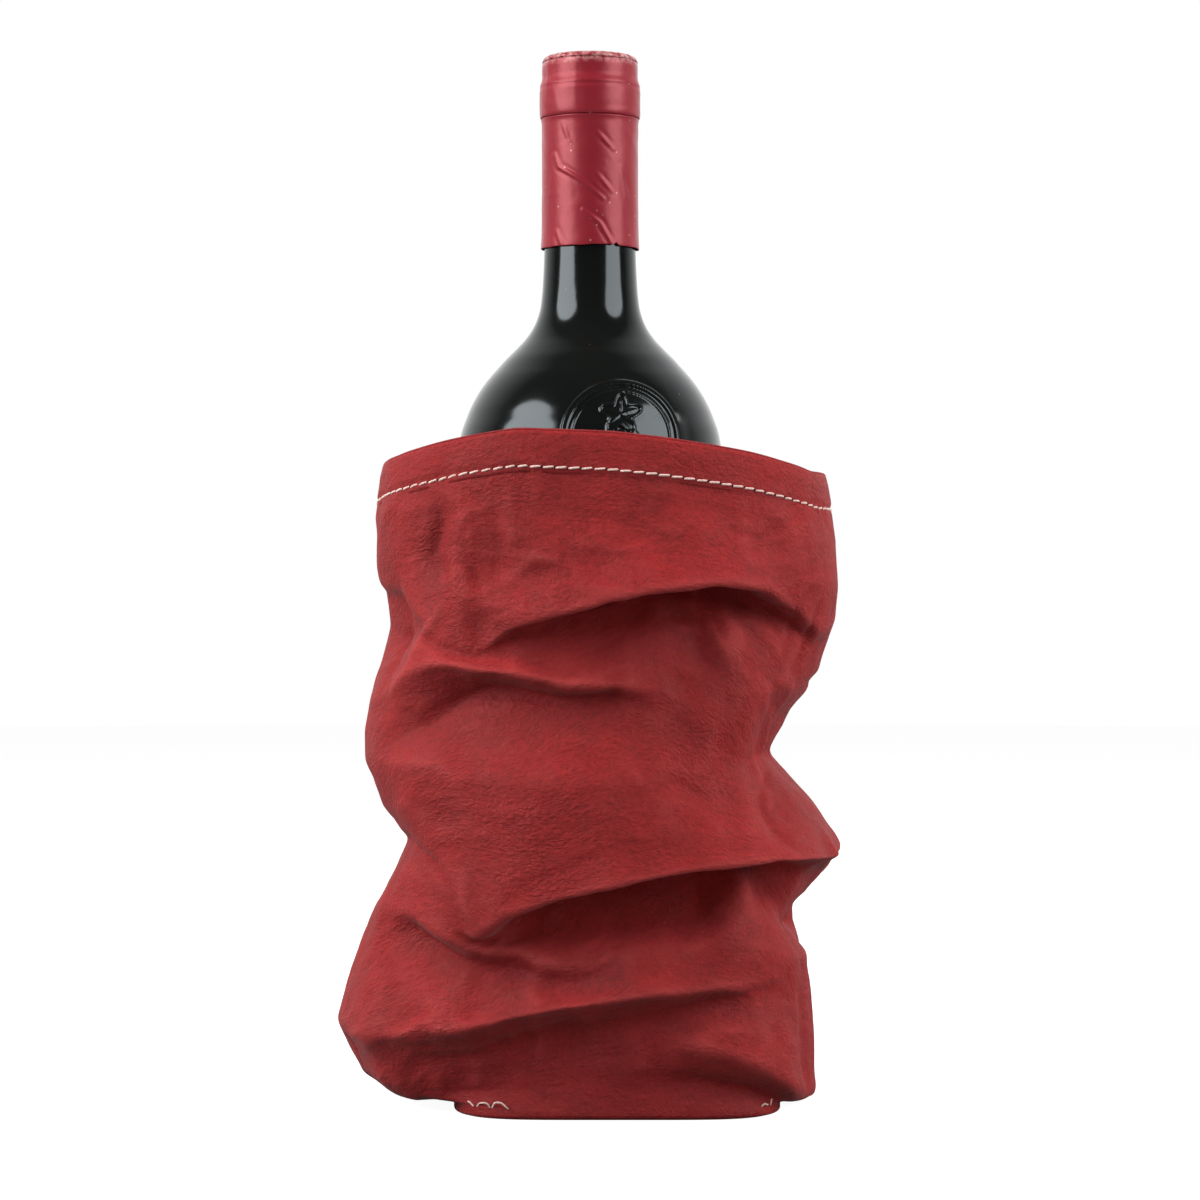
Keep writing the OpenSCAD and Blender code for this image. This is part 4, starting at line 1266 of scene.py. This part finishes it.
# %% [markdown]
# ## The capsule
#
# The foil over the neck is thin metal, spun tight round the glass. Spinning leaves shallow
# slanting dents and fine crinkles. It comes in three pieces: the skirt on the neck, the
# crown over the ring, and a pressed disc on top. The skirt's lower edge is a little wavy.

# %% Foil
def capsule_foil():
    material, tree, shader, place = start_material(
        "Capsule foil, dark red", Metallic=0.22, Roughness=0.36, Coat_Weight=0.2, Coat_Roughness=0.25)
    at = place.outputs["Object"]
    tone = add_effect(tree, "Mottle", at, Patches_per_metre=70.0, Contrast=1.8)
    fine = add_effect(tree, "Mottle", at, Patches_per_metre=1400.0, Contrast=1.2)
    crinkle = add_effect(tree, "Crease net", at, Creases_per_metre=110.0, Sharpness=2.0, Warp=0.6)
    glint = add_effect(tree, "Specks", at, Specks_per_metre=520.0, Size=0.16, Share=0.10)
    red = mix_colour(tree, tone, (0.305, 0.016, 0.028, 1), (0.375, 0.026, 0.041, 1))
    # the crimped edge on top is paler in patches here and there
    height = add_node(tree, "ShaderNodeSeparateXYZ", {"Vector": at}).outputs["Z"]
    edge = add_node(tree, "ShaderNodeMapRange", {"Value": height, "From Min": 0.3075, "From Max": 0.3102})
    patch = add_effect(tree, "Mottle", at, Patches_per_metre=650.0, Contrast=5.0)
    pale_rim_patches = add_node(tree, "ShaderNodeMath", {0: edge.outputs["Result"], 1: patch}, operation="MULTIPLY")
    tree.links.new(mix_colour(tree, combine(tree, [(glint, 0.45), (pale_rim_patches.outputs[0], 0.75)]), red,
                              (0.80, 0.47, 0.45, 1)), shader.inputs["Base Color"])
    rough = add_node(tree, "ShaderNodeMapRange", {"Value": fine, "To Min": 0.26, "To Max": 0.42})
    tree.links.new(rough.outputs["Result"], shader.inputs["Roughness"])
    add_bump(tree, shader, combine(tree, [(crinkle, 0.6), (fine, 0.12), (tone, 0.6)]), 0.00012)
    return material


FOIL = capsule_foil()


# %% Crinkled foil surfaces
def foil_dents(turns, z, seed):
    """Shallow slanting dents on the foil, in millimetres, over a grid of turns and heights."""
    rng = np.random.default_rng(seed)
    rise = np.zeros((len(turns), len(z)))
    for _ in range(46):
        t0, z0 = rng.uniform(-np.pi, np.pi), rng.uniform(z.min(), z.max())
        slant, length, width = rng.normal(0.9, 0.7), rng.uniform(5, 15), rng.uniform(0.7, 1.9)
        depth = rng.uniform(0.02, 0.07) * rng.choice([-1, 1])
        around = ((turns - t0 + np.pi) % (2 * np.pi) - np.pi)[:, None] * 14.4
        height = (z - z0)[None]
        c, s = math.cos(slant), math.sin(slant)
        along, across = around * c - height * s, around * s + height * c
        rise += depth * np.exp(-(along / length) ** 4 - (across / width) ** 2)
    # long creases that spinning leaves on the front
    for points, depth in (([(-10.6, 281), (-9.2, 277), (-2.6, 272.7), (4, 267.3)], 0.30),
                          ([(2.2, 287), (7, 282)], 0.22), ([(2.2, 274.5), (6.6, 269.5)], 0.20),
                          ([(-2, 264), (3, 260), (7.5, 252)], 0.32), ([(-9.8, 258), (-7.4, 252)], 0.22),
                          ([(-8, 290), (-6, 284)], 0.14), ([(9, 277), (11, 268)], 0.14)):
        x = np.sin(turns)[:, None] * 14.4 + 0 * z[None]
        best, run = np.full(x.shape, 1e9), np.zeros(x.shape)
        for k, ((ax, az), (bx, bz)) in enumerate(zip(points, points[1:])):
            size = math.dist((ax, az), (bx, bz))
            t = np.clip(((x - ax) * (bx - ax) + (z[None] - az) * (bz - az)) / size ** 2, 0, 1)
            d = np.hypot(x - ax - t * (bx - ax), z[None] - az - t * (bz - az))
            run, best = np.where(d < best, (k + t) / (len(points) - 1), run), np.minimum(best, d)
        ridge = np.exp(-(best / 0.5) ** 2) - 0.5 * np.exp(-((best - 1.0) / 0.6) ** 2)
        rise += depth * ridge * np.sin(np.pi * np.clip(run, 0.15, 0.85)) * (np.cos(turns)[:, None] > 0)
    return rise


def foil_shell(name, line, thickness, seed, wavy=False):
    """A thin foil shell of revolution with dents, from its lower edge to its upper edge."""
    turns = np.radians(np.arange(0, 360, 1.5) - 180)
    line = rounded(line, 0.45)
    grid = spin(line, turns)
    dents = foil_dents(turns, line[:, 1], seed)
    steep = np.clip(np.gradient(line[:, 1]) / 0.25, 0, 1)[None]
    grid += grid_normals(grid, closed=True) * (dents * steep)[..., None]
    if wavy:
        drop = np.exp(-(line[:, 1] - line[0, 1]) / 3.0)[None]
        wave = 0.14 * np.sin(3 * turns + 0.6) + 0.07 * np.sin(7 * turns) + 0.04 * np.sin(16 * turns + 1)
        nick = 0.8 * np.exp(-((turns - 0.56) / 0.04) ** 2)
        grid[..., 2] += (wave + nick)[:, None] * drop
    inner = grid - grid_normals(grid, closed=True) * thickness
    n, rows = len(turns), len(line)
    points = list(grid.reshape(-1, 3)) + list(inner.reshape(-1, 3))
    outer_faces = grid_faces(n, rows, closed=True)
    m = n * rows
    faces = outer_faces + [[d + m, c + m, b + m, a + m] for a, b, c, d in outer_faces]
    for i in range(n):
        a, b = i * rows, (i + 1) % n * rows
        faces.append([b, a, a + m, b + m])
        a, b = a + rows - 1, b + rows - 1
        faces.append([a, b, b + m, a + m])
    return make_piece(name, points, faces, [FOIL])


skirt = foil_shell("capsule_skirt_foil",
                   [(14.75, 253.6), (14.75, 254.2), (14.62, 257), (14.5, 266), (14.45, 280), (14.48, 289),
                    (14.55, 291.4), (14.75, 292.4)], 0.12, 7, wavy=True)
crown = foil_shell("capsule_crown_foil",
                   [(14.78, 292.5), (14.95, 292.9), (15.12, 294.2), (15.12, 300.6), (14.95, 301.6),
                    (15.02, 302.2), (14.75, 303.2), (14.5, 304), (14.35, 305), (14.35, 307.8),
                    (14.3, 308.7), (14.12, 309.5), (13.6, 310.25), (12.9, 310.7), (12.2, 310.85)], 0.12, 9)

# %% Pressed disc on top
disc_line = rounded([(0.6, 310.9), (9.0, 310.9), (12.0, 310.95), (13.2, 310.66), (13.85, 310.1),
                     (14.2, 309.5), (14.28, 309.5), (14.05, 310.2), (13.4, 310.95), (12.7, 311.25),
                     (12.0, 311.32), (11.0, 311.2), (10.4, 311.3), (8, 311.32), (4, 311.3),
                     (0.6, 311.3)], 0.8)
disc_turns = np.radians(np.arange(0, 360, 3))
disc_grid = spin(disc_line, disc_turns)
near_edge = np.clip(1 - np.abs(disc_line[:, 0] - 13.9) / 0.9, 0, 1)
crimp = np.random.default_rng(21).normal(size=(120, 1)) * near_edge
disc_grid[..., 2] += 0.14 * crimp
disc_grid[..., :2] *= (1 + 0.006 * np.roll(crimp, 5, 0))[..., None]
rows = len(disc_line)
disc_points = list(disc_grid.reshape(-1, 3)) + [[0, 0, 311.05], [0, 0, 311.3]]
disc_faces = grid_faces(120, rows, closed=True)
for i in range(120):
    a, b = i * rows, (i + 1) % 120 * rows
    disc_faces.append([b, a, 120 * rows])
    disc_faces.append([a + rows - 1, b + rows - 1, 120 * rows + 1])
disc = make_piece("capsule_top_disc", disc_points, disc_faces, [FOIL])

# %% [markdown]
# ## The cork
#
# The cork is hidden under the capsule until it is pulled. It is a plain cylinder with
# small chamfers, in natural cork: pale brown with dark pores and growth lines.

# %% Cork
def natural_cork():
    material, tree, shader, place = start_material("Natural cork", Roughness=0.85, Specular_IOR_Level=0.3)
    at = place.outputs["Object"]
    tone = add_effect(tree, "Mottle", at, Patches_per_metre=160.0, Contrast=1.8)
    pores = add_effect(tree, "Specks", at, Specks_per_metre=480.0, Size=0.32, Share=0.3)
    rings = add_node(tree, "ShaderNodeTexWave",
                     {"Vector": at, "Scale": 90.0, "Distortion": 6.0, "Detail": 3.0},
                     bands_direction="X")
    tan = mix_colour(tree, tone, (0.40, 0.23, 0.115, 1), (0.56, 0.36, 0.20, 1))
    lined = mix_colour(tree, combine(tree, [(rings.outputs["Fac"], 0.25)]), tan, (0.30, 0.16, 0.08, 1))
    tree.links.new(mix_colour(tree, pores, lined, (0.12, 0.06, 0.03, 1)), shader.inputs["Base Color"])
    add_bump(tree, shader, combine(tree, [(pores, -1.0), (tone, 0.4)]), 0.0002)
    return material


CORK = natural_cork()
cork_line = rounded([(1.0, 265.6), (8.6, 265.6), (9.15, 266.2), (9.15, 309.8), (8.6, 310.4), (1.0, 310.4)], 2)
cork_grid = spin(cork_line, np.radians(np.arange(0, 360, 5)))
rows = len(cork_line)
cork_points = list(cork_grid.reshape(-1, 3)) + [[0, 0, 265.6], [0, 0, 310.4]]
cork_faces = grid_faces(72, rows, closed=True)
for i in range(72):
    a, b = i * rows, (i + 1) % 72 * rows
    cork_faces.append([b, a, 72 * rows])
    cork_faces.append([a + rows - 1, b + rows - 1, 72 * rows + 1])
cork = make_piece("natural_cork", cork_points, cork_faces, [CORK])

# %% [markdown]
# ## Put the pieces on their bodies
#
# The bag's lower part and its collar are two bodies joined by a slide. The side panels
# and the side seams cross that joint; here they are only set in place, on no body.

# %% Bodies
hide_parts("front_panel_lower", "front_panel_collar")
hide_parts("back_panel_lower", "back_panel_collar")
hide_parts("hem_fold")
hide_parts("hem_stitches")
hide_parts("left_seam_stitches")
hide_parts("right_seam_stitches")
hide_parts("base_panel")
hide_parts("base_seam_stitches")
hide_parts("bottle_glass")
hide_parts("wine")
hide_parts("capsule_skirt")
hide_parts("capsule_crown")
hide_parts("capsule_disc")
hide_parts("cork")
for piece in (front_panel, back_panel, left_seam, right_seam):
    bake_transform(piece)
for body, pieces in {"bag": (base_panel, base_thread), "collar": (hem, hem_stitches, hem_stitches_inside),
                     "bottle": (bottle, wine, skirt), "capsule_top": (crown, disc), "cork": (cork,)}.items():
    for piece in pieces:
        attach(piece, body)

# %% [markdown]
# ## Floor, light and camera
#
# The object stands on a plain white floor, and the world round it is white to the eye. Two
# round soft boxes, left and right of the camera, draw the upright reflections on the bottle
# and the capsule; the left one is stronger and higher, so the folds shade towards the
# right. Only what lies behind the object shines in the glass, so its rims turn grey.

# %% Floor
def stage_white():
    """White to the eye, but it throws only a little light back at the object."""
    material, tree, shader, place = start_material("Floor, white", Roughness=0.9, Specular_IOR_Level=0.1)
    tone = add_effect(tree, "Mottle", place.outputs["Object"], Patches_per_metre=3.0, Contrast=0.4)
    ray = add_node(tree, "ShaderNodeLightPath").outputs["Is Camera Ray"]
    pale = mix_colour(tree, tone, (0.27, 0.27, 0.27, 1), (0.31, 0.31, 0.31, 1))
    tree.links.new(mix_colour(tree, ray, (0.14, 0.14, 0.14, 1), pale), shader.inputs["Base Color"])
    shader.inputs["Emission Color"].default_value = (1, 1, 1, 1)
    seen = add_node(tree, "ShaderNodeMapRange", {"Value": ray, "To Max": 0.94})
    tree.links.new(seen.outputs["Result"], shader.inputs["Emission Strength"])
    return material


turn = np.radians(np.arange(0, 360, 7.5))
floor_points = [[0, 0, 0]] + [[3000 * math.cos(t), 3000 * math.sin(t), 0] for t in turn]
floor = make_piece("floor", floor_points, [[0, k + 1, (k + 1) % 48 + 1] for k in range(48)], [stage_white()])


# %% Lights
def soft_box(name, place, width, height, power, aim=(0.0, 0.0, 0.16)):
    light = bpy.data.lights.new(name, "AREA")
    light.shape, light.size, light.size_y, light.energy = "ELLIPSE", width, height, power
    lamp = bpy.data.objects.new(name, light)
    bpy.context.collection.objects.link(lamp)
    lamp.location = place
    lamp.rotation_euler = (Vector(aim) - Vector(place)).to_track_quat("-Z", "Y").to_euler()
    return lamp


soft_box("left soft box", (-0.95, -0.55, 0.70), 1.04, 0.98, 10.4)
soft_box("right soft box", (0.97, -0.55, 0.64), 0.94, 0.92, 6.7)
# the other lights shape the paper only, and no glass or foil shows them
fills = [soft_box("top soft box", (-0.15, -0.22, 1.30), 0.7, 0.5, 9.0),
         soft_box("left side light", (-1.1, 0.05, 0.55), 0.5, 0.8, 7.0),
         soft_box("right side light", (1.1, 0.05, 0.55), 0.5, 0.8, 8.2),
         soft_box("low fill", (0.05, -0.90, 0.04), 1.2, 0.12, 0.8, aim=(0.0, 0.0, 0.10)),
         soft_box("back light", (0.10, 1.10, 0.60), 0.9, 0.7, 7.0)]
for lamp in fills:
    lamp.visible_glossy = False
world = bpy.data.worlds.new("Studio")
bpy.context.scene.world = world
world.use_nodes = True
sky, background = world.node_tree, world.node_tree.nodes["Background"]
background.inputs["Color"].default_value = (1, 1, 1, 1)
path = add_node(sky, "ShaderNodeLightPath")
towards = add_node(sky, "ShaderNodeTexCoord")
parts = add_node(sky, "ShaderNodeSeparateXYZ", {"Vector": towards.outputs["Generated"]})
behind = add_node(sky, "ShaderNodeMapRange", {"Value": parts.outputs["Y"], "From Min": 0.1, "From Max": 0.9,
                                              "To Min": 0.04, "To Max": 1.1})
in_gloss = add_node(sky, "ShaderNodeMapRange", {"Value": path.outputs["Is Glossy Ray"], "To Min": 0.03,
                                                "To Max": behind.outputs["Result"]})
strength = add_node(sky, "ShaderNodeMapRange", {"Value": path.outputs["Is Camera Ray"],
                                                "To Min": in_gloss.outputs["Result"], "To Max": 1.0})
sky.links.new(strength.outputs["Result"], background.inputs["Strength"])
bpy.context.scene.view_settings.view_transform = "Standard"

# %% Camera
camera_data = bpy.data.cameras.new("camera")
camera_data.sensor_width, camera_data.lens, camera_data.clip_start = 36, 100, 0.01
camera = bpy.data.objects.new("camera", camera_data)
bpy.context.collection.objects.link(camera)
camera.location = (0.003, -1.0, 0.1485)
camera.rotation_euler = (math.pi / 2, 0, 0)
bpy.context.scene.camera = camera
print("the camera looks level at the front from %.1f m" % -camera.location.y)
